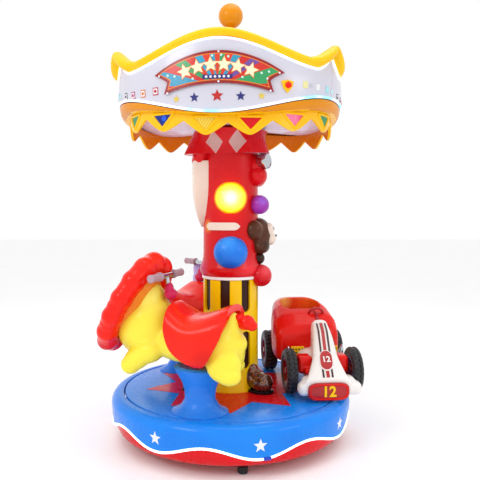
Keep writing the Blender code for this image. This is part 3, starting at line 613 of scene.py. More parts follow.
# Belt
# A thin white moulding that covers the joint between jacket and trousers.
BELT_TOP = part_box("column_belt")[1].z
BELT_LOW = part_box("column_belt")[0].z
white_gelcoat = gelcoat("gelcoat_white", "#f7f6f4", "#eceaec")
belt = spun("column_belt_band", [
    (0.05, BELT_TOP), (0.1435, BELT_TOP), (0.146, BELT_TOP - 0.002), (0.1465, (BELT_TOP + BELT_LOW) / 2),
    (0.146, BELT_LOW + 0.002), (0.1435, BELT_LOW), (0.05, BELT_LOW),
], COLUMN_STEPS)
finished(belt, "column_belt_band", white_gelcoat, replaces=["column_belt"])

# Chest lamp
# A domed acrylic lens over a warm lamp, held by an orange bezel ring: white-yellow where the
# lamp sits behind it and orange towards its edge.
LAMP_MIDDLE = Vector((0, -0.135, 1.191))
LAMP_RADIUS = 0.078


def divided_block(size, cuts):
    """A box round the origin, its faces divided so that it can be shaped."""
    deselect()
    bpy.ops.mesh.primitive_cube_add(size=1, scale=size)
    obj = bpy.context.object
    bpy.ops.object.transform_apply(scale=True)
    bpy.ops.object.mode_set(mode="EDIT")
    bpy.ops.mesh.select_all(action="SELECT")
    bpy.ops.mesh.subdivide(number_cuts=cuts)
    bpy.ops.object.mode_set(mode="OBJECT")
    return obj


def facing_front(obj, at):
    """A turned piece whose top is laid over to face -Y."""
    obj.rotation_euler = (math.pi / 2, 0, 0)
    obj.location = at
    return obj


def lamp_lens():
    made, tree, shader, place = blank_material("acrylic_lamp_lens")
    away = add_node(tree, "ShaderNodeVectorMath", {
        0: place, 1: LAMP_MIDDLE + Vector((0, -0.03, 0)),
    }, operation="DISTANCE")
    tint = colour_ramp(tree, spread(tree, away.outputs["Value"], 0.01, LAMP_RADIUS, 0.0, 1.0), (
        (0.15, "#fffdc8"), (0.5, "#fff65a"), (0.82, "#ffd21e"), (1.0, "#ff9400"),
    ))
    feed(tree, shader, {
        "Base Color": tint, "Emission Color": tint, "Emission Strength": 0.9, "Roughness": 0.08,
    })
    return made


lens = facing_front(spun("chest_lamp_lens", [
    (LAMP_RADIUS * math.sin(math.pi / 2 * k / 12), 0.05 * math.cos(math.pi / 2 * k / 12))
    for k in range(1, 12)
] + [(LAMP_RADIUS - 0.0015, 0.0), (LAMP_RADIUS - 0.0015, -0.02)], 64), LAMP_MIDDLE)
finished(lens, "chest_lamp_lens", lamp_lens(), replaces=["chest_lamp"])
orange_gelcoat = gelcoat("gelcoat_orange", "#ff8a10", "#f47c08")
deselect()
bpy.ops.mesh.primitive_torus_add(major_radius=LAMP_RADIUS, minor_radius=0.0045, major_segments=72,
                                 minor_segments=14, location=LAMP_MIDDLE, rotation=(math.pi / 2, 0, 0))
finished(bpy.context.object, "chest_lamp_bezel", orange_gelcoat)

# Chest ball
# A blue gelcoated half ball set in a shallow seat ring, with a painted highlight where the light box stands
# and painted shade low down.
BALL_MIDDLE = Vector((0, -0.135, 0.921))
BALL_RADIUS = 0.081
ball_gelcoat = gelcoat("gelcoat_blue_ball", "#2583ec", "#1c6fe0", painted_light_clouds=(
    ((-0.02, -0.19, 0.99), 0.09, "#3d9cfa", 1.0), ((0, -0.16, 0.845), 0.06, "#1450c8", 1.0),
))
ball = facing_front(spun("chest_ball_dome", [
    (BALL_RADIUS * math.sin(math.pi / 2 * k / 14), 0.06 * math.cos(math.pi / 2 * k / 14))
    for k in range(1, 14)
] + [(BALL_RADIUS, 0.0), (BALL_RADIUS + 0.003, -0.004), (BALL_RADIUS + 0.003, -0.03)], 72), BALL_MIDDLE)
finished(ball, "chest_ball_dome", ball_gelcoat, angle=60, replaces=["chest_ball"])

# Neck bar
# A cream moulded bar that follows the column's curve, rounded on the left and pointed on the
# right.
cream_gelcoat = gelcoat("gelcoat_cream", "#efdfd0", "#e4d0c0")
bar = divided_block((0.176, 0.016, 0.038), 12)
for vertex in bar.data.vertices:
    side = vertex.co.x / 0.088
    end = max(0.0, (abs(side) - 0.8) / 0.2)
    vertex.co.z *= (1 - end * 0.95) if side > 0 else math.sqrt(1 - 0.9 * end * end)
modify(bar, "BEVEL", width=0.004, segments=3, limit_method="ANGLE", angle_limit=math.radians(50))
wrapped(bar, -17.5, 1.05, lambda bearing, height: COLUMN_RADIUS)
finished(bar, "neck_bar_moulding", cream_gelcoat, angle=50, replaces=["neck_bar"])

# Side plaque
# A cream shield on the left of the column with a red lobed cap over it, both fibreglass
# mouldings screwed to the jacket; the shield tapers to its lower point.


def ellipsoid(radii, at, turn=(0, 0, 0), across=32, around=18):
    """A rounded form, added at its size and place."""
    deselect()
    bpy.ops.mesh.primitive_uv_sphere_add(segments=across, ring_count=around, radius=1, location=at,
                                         rotation=[math.radians(a) for a in turn], scale=radii)
    obj = bpy.context.object
    bpy.ops.object.transform_apply(location=True, rotation=True, scale=True)
    return obj


def fused(name, forms, voxel=0.005, rounds=6):
    """Forms joined, made one skin and smoothed, as filled and sanded fibreglass is."""
    obj = joined(forms)
    obj.name = name
    modify(obj, "REMESH", mode="VOXEL", voxel_size=voxel)
    modify(obj, "SMOOTH", factor=0.5, iterations=rounds)
    return obj


shield = divided_block((0.17, 0.11, 0.336), 16)
for vertex in shield.data.vertices:
    down = max(0.0, 0.06 - vertex.co.z) / 0.228
    vertex.co.x *= math.sqrt(max(0.02, 1 - down * down))
    if vertex.co.y < 0:
        crown = 1 - (vertex.co.x / 0.1) ** 2 * 0.35
        vertex.co.y *= crown * (1 - 0.85 * down**2.2)
shield = fused("side_plaque_shield", [shield], 0.004, 8)
for vertex in shield.data.vertices:
    vertex.co = (-0.142 + vertex.co.y, -vertex.co.x, 1.212 + vertex.co.z)
shield.data.flip_normals()
deselect()
finished(shield, "side_plaque_shield", cream_gelcoat, replaces=["side_plaque"])
cap = fused("side_plaque_cap", [
    ellipsoid((0.05, 0.1, 0.05), (-0.148, 0, 1.415)),
    ellipsoid((0.035, 0.036, 0.04), (-0.158, -0.055, 1.39)),
    ellipsoid((0.038, 0.036, 0.045), (-0.163, 0.0, 1.385)),
    ellipsoid((0.035, 0.036, 0.04), (-0.158, 0.055, 1.39)),
], 0.004)
finished(cap, "side_plaque_cap", red_gelcoat)

# Monkey relief
# On the right of the column: a brown monkey's head with a cream face, hands that reach up and
# coloured juggling balls, each a small moulding bolted on. The brown carries a painted highlight above and
# painted shade below.
monkey_gelcoat = gelcoat("gelcoat_monkey_brown", "#5c3420", "#42200f", painted_light_clouds=(
    ((0.15, -0.09, 1.06), 0.05, "#6e452c", 1.0), ((0.17, -0.06, 0.95), 0.05, "#2f150c", 1.0),
))
head = fused("monkey_head", [
    ellipsoid((0.07, 0.085, 0.088), (0.14, -0.01, 1.005)),
    ellipsoid((0.045, 0.04, 0.05), (0.118, -0.088, 1.03), (0, 0, 30)),
    ellipsoid((0.045, 0.04, 0.05), (0.118, 0.078, 1.03), (0, 0, -30)),
    ellipsoid((0.05, 0.07, 0.04), (0.15, -0.02, 0.945)),
], 0.004)
finished(head, "monkey_head", monkey_gelcoat, replaces=["monkey_figure"])
face = fused("monkey_face", [
    ellipsoid((0.024, 0.034, 0.036), (0.196, -0.03, 1.03)),
    ellipsoid((0.024, 0.034, 0.036), (0.196, 0.02, 1.03)),
    ellipsoid((0.034, 0.052, 0.036), (0.2, -0.005, 0.985)),
], 0.003, 8)
finished(face, "monkey_face", cream_gelcoat)
black_gelcoat = gelcoat("gelcoat_black", "#141214", "#0c0a0c")
eyes = joined([ellipsoid((0.006, 0.008, 0.011), (0.217, -0.025, 1.035), across=20, around=12),
               ellipsoid((0.006, 0.008, 0.011), (0.217, 0.015, 1.035), across=20, around=12),
               ellipsoid((0.006, 0.011, 0.006), (0.232, -0.005, 1.0), across=20, around=12)])
finished(eyes, "monkey_eyes_and_nose", black_gelcoat)
sleeve = fused("monkey_red_sleeve", [
    ellipsoid((0.05, 0.062, 0.055), (0.135, -0.055, 1.305)),
    ellipsoid((0.042, 0.045, 0.06), (0.13, -0.06, 1.35)),
    ellipsoid((0.045, 0.05, 0.05), (0.14, 0.03, 1.3)),
], 0.004)
finished(sleeve, "monkey_red_sleeve", red_gelcoat)
arm = fused("monkey_hand", [
    ellipsoid((0.032, 0.034, 0.032), (0.142, -0.028, 0.885)),
    ellipsoid((0.02, 0.03, 0.05), (0.14, 0.02, 0.9)),
], 0.003)
finished(arm, "monkey_hand", brown_gelcoat)


def seamed_ball(name, radius, at, finish, node):
    """A two-part moulded ball: a fine raised seam runs round its middle."""
    obj = ellipsoid((radius, radius, radius), at, (70, 20, 0), 48, 24)
    deselect()
    bpy.ops.mesh.primitive_torus_add(major_radius=radius, minor_radius=0.0009, major_segments=64,
                                     minor_segments=6, location=at, rotation=(math.radians(70), 0.35, 0))
    obj = joined([obj, bpy.context.object])
    return finished(obj, name, finish, replaces=[node])


# Each ball's lighter cloud is a painted highlight.
purple_gelcoat = gelcoat("gelcoat_purple", "#b43ab8", "#8c2ca0", painted_light_clouds=(
    ((0.16, -0.12, 1.185), 0.05, "#a060d8", 1.0),))
ball_red_gelcoat = gelcoat("gelcoat_red_ball", "#e01a26", "#c8101c", painted_light_clouds=(
    ((0.18, -0.1, 0.84), 0.06, "#f05058", 1.0),))
seamed_ball("juggling_ball_purple_moulding", 0.048, (0.145, -0.075, 1.158), purple_gelcoat,
            "juggling_ball_purple")
seamed_ball("juggling_ball_red_moulding", 0.056, (0.152, -0.05, 0.8), ball_red_gelcoat,
            "juggling_ball_red")

# Side lamp
# A chromed spot lamp under the right corner of the collar: a stepped tube.
polished_chrome = plain_finish("chrome_polished", "#c8ccd2", 0.12, 1.0, grain=90.0, relief=0.04)
dark_grille = plain_finish("grille_black_steel", "#26262a", 0.5, 0.6, grain=500.0, relief=0.5)
side_lamp = spun("side_lamp_housing", [
    (0.006, 0.03), (0.032, 0.03), (0.036, 0.034), (0.04, 0.03), (0.04, 0.012), (0.037, 0.008),
    (0.037, -0.012), (0.033, -0.018), (0.022, -0.04), (0.006, -0.045),
], 48)
side_lamp.rotation_euler = (math.radians(90), 0, math.radians(58))
side_lamp.location = (0.158, -0.083, 1.375)
finished(side_lamp, "side_lamp_housing", polished_chrome, replaces=["side_lamp"])

# Shoes
# Two pointed brown shoes at the foot of the column, in gelcoat with metal flakes whose pale colour is a
# painted glint.


def glitter_gelcoat(name, colour, flake_glint_colour):
    """Flakes about 1.5 mm across, drawn larger than the real 0.4 mm so that they show; their pale colour is
    a painted glint.
    """
    made, tree, shader, place = blank_material(name)
    flakes = add_node(tree, "ShaderNodeTexVoronoi", {"Vector": place, "Scale": 420.0})
    parts = add_node(tree, "ShaderNodeSeparateColor", {"Color": flakes.outputs["Color"]})
    bright = spread(tree, parts.outputs["Red"], 0.7, 0.95, 0.0, 1.0)
    feed(tree, shader, {
        "Base Color": tinted(tree, bright, linear(colour), linear(flake_glint_colour)), "Metallic": bright,
        "Roughness": 0.22, "Coat Weight": 0.6,
    })
    return made


glitter_brown_with_glints = glitter_gelcoat("gelcoat_brown_flake_glint", "#3a140c", "#d88a5a")
for side, spot in (("right", 52), ("left", -68)):
    node = f"shoe_{side}"
    floor_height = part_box(node)[0].z
    turn = (0, 0, spot - 90)
    shoe = fused(f"{node}_moulding", [
        ellipsoid((0.058, 0.052, 0.052), polar(COLUMN_RADIUS + 0.055, spot, floor_height + 0.044), turn),
        ellipsoid((0.05, 0.044, 0.05), polar(COLUMN_RADIUS + 0.025, spot, floor_height + 0.055), turn),
        ellipsoid((0.04, 0.044, 0.066), polar(COLUMN_RADIUS - 0.005, spot, floor_height + 0.066), turn),
    ], 0.004)
    for vertex in shoe.data.vertices:
        vertex.co.z = max(vertex.co.z, floor_height)
    finished(shoe, f"{node}_moulding", glitter_brown_with_glints, replaces=[node])
    sole = spun(f"{node}_sole", [
        (0.01, 0.012), (0.94, 0.012), (1.0, 0.009), (1.0, 0.003), (0.97, 0.0), (0.01, 0.0),
    ], 40)
    sole.scale = (0.072, 0.053, 1)
    sole.rotation_euler = (0, 0, math.radians(spot - 90))
    sole.location = polar(COLUMN_RADIUS + 0.046, spot, floor_height)
    finished(sole, f"{node}_sole", black_gelcoat)

# Canopy panels
# Three curved white panels, each a vacuum-formed sheet of opal acrylic on a steel hoop, with
# light tubes along their edges and a faint painted glow in the sheet. Their tops are cut to a wave with
# horns.
CANOPY_RADIUS = 0.545
CANOPY_FLATTENING = 0.04
CANOPY_FRONT = -6
PANEL_MIDDLES = [CANOPY_FRONT + 120 * k for k in range(3)]
PANEL_HALF_ANGLE = 59.9
PANEL_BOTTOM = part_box("fascia_1")[0].z
PANEL_BOTTOM_LIFT = 0.088
ARCH_TOP = 1.871
TROUGH_TOP = 1.763
TROUGH_ANGLE = 49
HORN_TOP = 1.835
PANEL_WALL = 0.02
PANEL_BULGE = 0.007


def corner_share(bearing):
    """0 at the middle of a panel and 1 where two panels meet."""
    return (1 - math.cos(math.radians(3 * (bearing - CANOPY_FRONT)))) / 2


def canopy_wall(bearing):
    turn = math.radians(3 * (bearing - CANOPY_FRONT))
    return CANOPY_RADIUS * (1 - CANOPY_FLATTENING * math.cos(turn))


def panel_top(angle):
    away = abs(angle)
    if away < TROUGH_ANGLE:
        return TROUGH_TOP + (ARCH_TOP - TROUGH_TOP) * (1 + math.cos(math.pi * away / TROUGH_ANGLE)) / 2
    return TROUGH_TOP + (HORN_TOP - TROUGH_TOP) * ((away - TROUGH_ANGLE) / (60 - TROUGH_ANGLE)) ** 1.5


def panel_low(bearing):
    return PANEL_BOTTOM + PANEL_BOTTOM_LIFT * corner_share(bearing)


def draped(name, columns, rows, place_at):
    """A divided sheet whose points are set by place_at(along, up), both from 0 to 1. Its UV map
    keeps along and up. Its faces look away from the axis."""
    deselect()
    bpy.ops.mesh.primitive_grid_add(x_subdivisions=columns, y_subdivisions=rows, size=1)
    obj = bpy.context.object
    obj.name = name
    for vertex in obj.data.vertices:
        vertex.co = place_at(vertex.co.x + 0.5, vertex.co.y + 0.5)
    middle = obj.data.polygons[len(obj.data.polygons) // 2]
    if middle.normal.dot(Vector((middle.center.x, middle.center.y, 0))) < 0:
        obj.data.flip_normals()
    return obj


def closed_up(obj):
    """Merges the points where a sheet meets itself, fills its ends and turns its faces out."""
    chosen(obj)
    bpy.ops.object.mode_set(mode="EDIT")
    bpy.ops.mesh.select_all(action="SELECT")
    bpy.ops.mesh.remove_doubles(threshold=0.0001)
    bpy.ops.mesh.fill_holes(sides=0)
    bpy.ops.mesh.select_all(action="SELECT")
    bpy.ops.mesh.normals_make_consistent(inside=False)
    bpy.ops.object.mode_set(mode="OBJECT")
    return obj


def opal_acrylic(name, colour, glow):
    """Milky acrylic with a faint painted glow: it gives off a little light of its own, more in some
    places than in others, under a hard gloss."""
    made, tree, shader, place = blank_material(name)
    cloud = noise(tree, place, 4.0, 2.0)
    tint = tinted(tree, cloud, linear("#c6c4d2"), linear(colour))
    feed(tree, shader, {
        "Base Color": tint, "Emission Color": tint, "Roughness": 0.24, "Coat Weight": 0.1,
        "Emission Strength": spread(tree, cloud, 0.3, 0.7, glow * 0.4, glow),
        "Normal": bumps(tree, noise(tree, place, 18.0, 1.0), 0.12, 0.002),
    })
    return made


# The sheet's faint emission is a painted glow.
panel_acrylic = opal_acrylic("acrylic_opal_white", "#d0ced9", 0.01)
for index, middle in enumerate(PANEL_MIDDLES):
    def panel_point(along, up):
        bearing = middle + (2 * along - 1) * PANEL_HALF_ANGLE
        low, top = panel_low(bearing), panel_top(bearing - middle)
        bulge = PANEL_BULGE * math.sin(math.pi * up)
        return polar(canopy_wall(bearing) + bulge, bearing, low + (top - low) * up)

    panel = draped(f"canopy_panel_{index + 1}", 121, 17, panel_point)
    modify(panel, "SOLIDIFY", thickness=PANEL_WALL - 0.002, offset=-1)
    finished(panel, f"canopy_panel_{index + 1}", panel_acrylic, angle=45,
             replaces=[f"fascia_{index + 1}"])

# Canopy crest
# A fat yellow gelcoated bead along each panel's top. It swells and curls out into a horn where
# two panels meet, with fine ridges pressed along the horns.
CREST_HALF = 0.026
CREST_STEPS = 160
CREST_SIDES = 20

crest_gelcoat = gelcoat("gelcoat_yellow_crest", "#fdd00c", "#f6b604")
for index, middle in enumerate(PANEL_MIDDLES):
    def crest_point(along, up):
        angle = (2 * along - 1) * PANEL_HALF_ANGLE
        bearing = middle + angle
        curl = max(0.0, abs(angle) - TROUGH_ANGLE + 4) / (64 - TROUGH_ANGLE)
        half = CREST_HALF * (1 + 0.42 * math.sin(math.pi * min(1.0, curl * 0.9)))
        ridge = 1 + 0.03 * curl * math.sin(along * 2 * math.pi * 60)
        turn = -math.pi / 2 + math.tau * up
        outward = canopy_wall(bearing) - PANEL_WALL / 2 + 0.028 * curl + half * ridge * math.cos(turn)
        height = panel_top(angle) + 0.001 + half * 0.8 * (1 + ridge * math.sin(turn))
        return polar(outward, bearing, height)

    crest = closed_up(draped(f"canopy_crest_{index + 1}", CREST_STEPS, CREST_SIDES, crest_point))
    modify(crest, "BEVEL", width=0.006, segments=3, limit_method="ANGLE", angle_limit=math.radians(60))
    finished(crest, f"canopy_crest_{index + 1}", crest_gelcoat, angle=50,
             replaces=[f"top_rim_{index + 1}"])

# Canopy light tubes
# Silicone light tubes clipped under the crest and along the lower edge of every panel. They
# shine white with cyan, pink and lavender stretches.
TUBE_RADIUS = 0.0055
canopy_light = light_tube("silicone_light_tube_canopy", 300, 0.85)


def tube_along(points, radius, sides=10, closed=False):
    """A round tube along points, made from a curve and turned into a mesh."""
    deselect()
    bpy.ops.curve.primitive_nurbs_path_add()
    obj = bpy.context.object
    curve = obj.data
    curve.splines.clear()
    line = curve.splines.new("POLY")
    line.points.add(len(points) - 1)
    for spot, point in zip(line.points, points):
        spot.co = (*point, 1)
    line.use_cyclic_u = closed
    curve.dimensions = "3D"
    curve.bevel_depth = radius
    curve.bevel_resolution = max(1, sides // 4)
    curve.use_fill_caps = not closed
    bpy.ops.object.convert(target="MESH")
    return bpy.context.object


for index, middle in enumerate(PANEL_MIDDLES):
    angles = [(-0.985 + 1.97 * k / 90) * PANEL_HALF_ANGLE for k in range(91)]
    for edge, heights in (
        ("upper", [panel_top(a) - TUBE_RADIUS for a in angles]),
        ("lower", [panel_low(middle + a) + TUBE_RADIUS for a in angles]),
    ):
        tube = tube_along([
            polar(canopy_wall(middle + a) + TUBE_RADIUS * 0.7, middle + a, height)
            for a, height in zip(angles, heights)
        ], TUBE_RADIUS)
        finished(tube, f"canopy_light_{edge}_{index + 1}", canopy_light, angle=60)

# Valance
# A yellow moulded cornice under the panels, from which the pennants hang: pointed tabs with a
# rounded tip. Seen from inside, the tabs are a deeper orange, painted shade on their unlit side.
PENNANT_RADIUS = 0.494
PENNANT_FRONT = -1.5
PENNANT_PITCH = 24
PENNANT_COUNT = 15
PENNANT_TIP = 1.455
PENNANT_NOTCH = 1.511
BAND_HEIGHT = 0.03
PENNANT_CORNER_LIFT = 0.04
VALANCE_THICKNESS = 0.01
TIP_ROUNDING = 0.24


def valance_wall(bearing, height=None):
    turn = math.radians(3 * (bearing - PENNANT_FRONT))
    return PENNANT_RADIUS * (1 - CANOPY_FLATTENING * math.cos(turn))


def valance_lift(bearing):
    return PENNANT_CORNER_LIFT * (1 - math.cos(math.radians(3 * (bearing - PENNANT_FRONT)))) / 2


def valance_low(bearing):
    """Lower edge of the tabs: straight sides that run into a rounded tip."""
    along = ((bearing - PENNANT_FRONT) / PENNANT_PITCH) % 1
    side = abs(2 * along - 1)
    least = 1 + TIP_ROUNDING - math.sqrt(1 + TIP_ROUNDING**2)
    point = (1 + TIP_ROUNDING - math.sqrt(side**2 + TIP_ROUNDING**2) - least) / (1 - least)
    return PENNANT_NOTCH + (PENNANT_TIP - PENNANT_NOTCH) * point + valance_lift(bearing)


amber_gelcoat = gelcoat("gelcoat_amber", "#e8960a", "#d88204")
tab_inner_shade = gelcoat("gelcoat_orange_inside_shade", "#f28a08", "#e87c04")
yellow_tab = gelcoat("gelcoat_yellow_tab", "#fbc812", "#f5b808")


def valance_point(along, up):
    bearing = 360 * along
    low = valance_low(bearing)
    top = panel_low(bearing) - 0.004
    outer, inner = canopy_wall(bearing) - 0.002, valance_wall(bearing)
    band = PENNANT_NOTCH + BAND_HEIGHT + valance_lift(bearing)
    if up < 0.6:
        return polar(inner, bearing, low + (band - low) * up / 0.6)
    turn = math.pi / 2 * (up - 0.6) / 0.4
    return polar(inner + (outer - inner) * math.sin(turn) ** 0.7, bearing,
                 band + (top - band) * (1 - math.cos(turn)))


valance = draped("canopy_valance", 481, 15, valance_point)
modify(valance, "WELD", merge_threshold=0.0001)
modify(valance, "SOLIDIFY", thickness=VALANCE_THICKNESS, offset=-1)
for finish in (yellow_tab, tab_inner_shade, amber_gelcoat):
    valance.data.materials.append(finish)
# Faces that look towards the axis get the deeper orange, painted shade for the unlit inner side.
for face in valance.data.polygons:
    outward = face.normal.dot(Vector((face.center.x, face.center.y, 0)).normalized())
    flat_part = face.center.z < PENNANT_NOTCH + BAND_HEIGHT + 0.004 + valance_lift(bearing_of(face.center))
    face.material_index = 1 if outward < -0.3 else (0 if flat_part else 2)
finished(valance, "canopy_valance", None, angle=40,
         replaces=["pennant_band_1", "pennant_band_2", "pennant_band_3"])

# Pennant fields
# Each tab carries a flat coloured triangle inside a raised yellow frame: green, blue with a
# disc, yellow with hatching, red and striped pink, in turn round the canopy.
FIELD_HALF = 0.054
FIELD_DEPTH = 0.055
FIELD_TOP = 1.533
FRAME_CORNER = 0.012


def striped_gelcoat(name, first, second, stripes_per_metre, lean):
    """Two pigments sprayed through a stencil in even stripes; edges are a little soft."""
    made, tree, shader, place = blank_material(name)
    flow = add_node(tree, "ShaderNodeUVMap", uv_map="UVMap")
    turned_flow = add_node(tree, "ShaderNodeMapping", {
        "Vector": flow.outputs["UV"], "Rotation": (0, 0, math.radians(lean)),
    })
    parts = add_node(tree, "ShaderNodeSeparateXYZ", {"Vector": turned_flow.outputs["Vector"]})
    rank = maths(tree, "MULTIPLY", parts.outputs["X"], stripes_per_metre * math.tau)
    share = spread(tree, maths(tree, "SINE", rank), -0.15, 0.15, 0.0, 1.0)
    feed(tree, shader, {
        "Base Color": tinted(tree, share, linear(first), linear(second)), "Coat Weight": 0.5,
        "Roughness": spread(tree, noise(tree, place, 40.0, 3.0), 0.0, 1.0, 0.12, 0.3),
    })
    return made


green_gelcoat = gelcoat("gelcoat_green", "#1f9a5c", "#137a44")
navy_gelcoat = gelcoat("gelcoat_navy", "#1c3a9e", "#122a78")
hatched_yellow = striped_gelcoat("gelcoat_yellow_hatched", "#f2d02a", "#d8b41c", 9, 35)
striped_pink = striped_gelcoat("gelcoat_pink_striped", "#ff3c8c", "#d81464", 7, -20)
field_finishes = [green_gelcoat, navy_gelcoat, hatched_yellow, red_gelcoat, striped_pink]
field_names = ["green", "blue", "yellow", "red", "pink"]


def triangle_sheet(half, depth, thickness, corner, divide):
    """A flat triangle that points down, its corners rounded, facing -Y; UVs in decimetres."""
    deselect()
    bpy.ops.mesh.primitive_circle_add(vertices=3, radius=1, rotation=(math.pi / 2, 0, 0))
    obj = bpy.context.object
    bpy.ops.object.transform_apply(rotation=True)
    for vertex, spot in zip(obj.data.vertices, ((-half, 0), (half, 0), (0, -depth))):
        vertex.co = (spot[0], 0, spot[1])
    bpy.ops.object.mode_set(mode="EDIT")
    bpy.ops.mesh.select_all(action="SELECT")
    bpy.ops.mesh.edge_face_add()
    bpy.ops.mesh.bevel(offset=corner, segments=5, affect="VERTICES")
    bpy.ops.mesh.poke()
    bpy.ops.mesh.subdivide(number_cuts=divide)
    bpy.ops.object.mode_set(mode="OBJECT")
    if obj.data.polygons[0].normal.y > 0:
        obj.data.flip_normals()
    layer = obj.data.uv_layers.get("UVMap") or obj.data.uv_layers.new(name="UVMap")
    for loop in obj.data.loops:
        point = obj.data.vertices[loop.vertex_index].co
        layer.data[loop.index].uv = (point.x * 10, point.z * 10)
    if thickness:
        modify(obj, "SOLIDIFY", thickness=thickness, offset=1)
    return obj


def frame_bead(half, depth, radius):
    """A rounded bead round a triangle, as a mesh."""
    corners = [Vector((-half, 0, 0)), Vector((half, 0, 0)), Vector((0, 0, -depth))]
    points = []
    for k in range(3):
        before, here, after = corners[k - 1], corners[k], corners[(k + 1) % 3]
        into, out = (before - here).normalized(), (after - here).normalized()
        start, end = here + into * FRAME_CORNER, here + out * FRAME_CORNER
        for j in range(6):
            t = j / 5
            points.append(start * (1 - t) ** 2 + here * 2 * t * (1 - t) + end * t * t)
        for j in range(1, 8):
            points.append(end.lerp(after - out * FRAME_CORNER, j / 8))
    return tube_along(points, radius, 8, closed=True)


field_pattern = triangle_sheet(FIELD_HALF, FIELD_DEPTH, 0.0012, 0.004, 4)
frame_pattern = frame_bead(FIELD_HALF + 0.008, FIELD_DEPTH + 0.012, 0.0068)
field_sets = [[] for _ in field_finishes]
frames, discs = [], []
for k in range(PENNANT_COUNT):
    spot = PENNANT_FRONT + PENNANT_PITCH * (k + 0.5)
    height = FIELD_TOP + valance_lift(spot)
    colour = (k + 3) % len(field_finishes)
    field_sets[colour].append(wrapped(copied(field_pattern, "field"), spot, height, valance_wall))
    frames.append(wrapped(copied(frame_pattern, "frame"), spot, height + 0.0015, valance_wall))
    if colour == 1:
        disc = star_sheet("disc", 12, 0.013, 0.013, 0.0022, 0)
        discs.append(wrapped(disc, spot + 1, height - 0.02, valance_wall))
for pattern in (field_pattern, frame_pattern):
    bpy.data.objects.remove(pattern)
for colour_name, made, finish in zip(field_names, field_sets, field_finishes):
    finished(joined(made), f"pennant_fields_{colour_name}", finish)
finished(joined(frames), "pennant_frames", crest_gelcoat)
finished(joined(discs), "pennant_discs", gelcoat("gelcoat_azure", "#2a66f0", "#1d50d8"))

# Banner
# A ribbon-shaped board of printed acrylic, screwed flat over each panel: dark red border, orange
# line, a sunburst in red, teal and green, and six plain cream stars.
BANNER_STANDOFF = 0.013
BANNER_TOP = 1.808
BANNER_TOP_DROP = 0.091
BANNER_BOTTOM = 1.669
BANNER_BOTTOM_DROP = 0.037
BANNER_TIP_ANGLE = 30.5
BANNER_NOTCH_ANGLE = 23.7
BANNER_FOOT_ANGLE = 25.4
BANNER_NOTCH_UP = 0.38
BANNER_RADIUS = CANOPY_RADIUS * (1 - CANOPY_FLATTENING) + BANNER_STANDOFF
SUN_HEIGHT = 1.655
SUN_REACH = 100
STRIP_HEIGHT = 1.6955
SUN_RAYS = (
    (0.0, "#c4181c"), (0.06, "#2590b4"), (0.135, "#c8201c"), (0.19, "#2f9a5c"), (0.25, "#cc281c"),
    (0.31, "#2a9cc0"), (0.37, "#d8341c"), (0.43, "#2b96b6"), (0.475, "#d43a1c"), (0.52, "#2f9c60"),
    (0.57, "#d8341c"), (0.63, "#2a94b8"), (0.69, "#c8201c"), (0.75, "#6a4a9c"), (0.8, "#cc281c"),
    (0.85, "#2f9a5c"), (0.93, "#c4181c"),
)
PALE_DOTS = (
    (-23.3, 1.711), (-19.9, 1.705), (19.7, 1.711), (23.0, 1.7176), (-2.4, 1.785), (1.7, 1.787), (4.9, 1.78),
    (11.2, 1.692), (-11.3, 1.69),
)
SCREWS = (
    (-27.8, 1.712), (-23.5, 1.635), (0.5, 1.802), (0.5, 1.675), (27.8, 1.715), (23.7, 1.637), (22.3, 1.688),
)
BANNER_STARS = ((-15.0, 1.722), (-9.1, 1.738), (-3.1, 1.747), (3.0, 1.747), (9.0, 1.738), (14.9, 1.722))


def sunburst_print(name):
    """Screen-printed rays round a point on the banner's lower edge; UVs are in decimetres."""
    made, tree, shader, place = blank_material(name)
    flow = add_node(tree, "ShaderNodeUVMap", uv_map="UVMap")
    centred = add_node(tree, "ShaderNodeVectorMath", {
        0: flow.outputs["UV"], 1: (0, SUN_HEIGHT * 10, 0),
    }, operation="SUBTRACT")
    parts = add_node(tree, "ShaderNodeSeparateXYZ", {"Vector": centred.outputs["Vector"]})
    turn = maths(tree, "ARCTAN2", parts.outputs["X"], parts.outputs["Y"])
    reach = math.radians(SUN_REACH)
    feed(tree, shader, {
        "Base Color": colour_ramp(tree, spread(tree, turn, -reach, reach, 0.0, 1.0), SUN_RAYS, "CONSTANT"),
        "Roughness": spread(tree, noise(tree, place, 30.0, 4.0), 0.0, 1.0, 0.14, 0.34),
    })
    return made


def banner_wall(bearing, height):
    return canopy_wall(bearing) + BANNER_STANDOFF


def banner_sheet(name, middle, inset, lift, thickness, finish):
    """One printed layer of the ribbon, drawn in from its edge by an inset. UVs in decimetres."""
    def place_at(along, up):
        if up < BANNER_NOTCH_UP:
            share = up / BANNER_NOTCH_UP
            half = BANNER_FOOT_ANGLE + (BANNER_NOTCH_ANGLE - BANNER_FOOT_ANGLE) * share
        else:
            share = (up - BANNER_NOTCH_UP) / (1 - BANNER_NOTCH_UP)
            half = BANNER_NOTCH_ANGLE + (BANNER_TIP_ANGLE - BANNER_NOTCH_ANGLE) * share
        side_inset = inset * (1.15 + 1.1 * abs(up - BANNER_NOTCH_UP))
        angle = (2 * along - 1) * (half - math.degrees(side_inset / BANNER_RADIUS))
        low = BANNER_BOTTOM - BANNER_BOTTOM_DROP * (angle / BANNER_FOOT_ANGLE) ** 2 + inset
        top = BANNER_TOP - BANNER_TOP_DROP * (angle / BANNER_TIP_ANGLE) ** 2 - inset
        bearing = middle + angle
        return polar(banner_wall(bearing, 0) + lift, bearing, low + (top - low) * up)

    sheet = draped(name, 61, 14, place_at)
    layer = sheet.data.uv_layers["UVMap"]
    for loop in sheet.data.loops:
        point = sheet.data.vertices[loop.vertex_index].co
        around = (bearing_of(point) - middle + 180) % 360 - 180
        layer.data[loop.index].uv = (math.radians(around) * BANNER_RADIUS * 10, point.z * 10)
    modify(sheet, "SOLIDIFY", thickness=thickness, offset=1)
    return finished(sheet, name, finish)


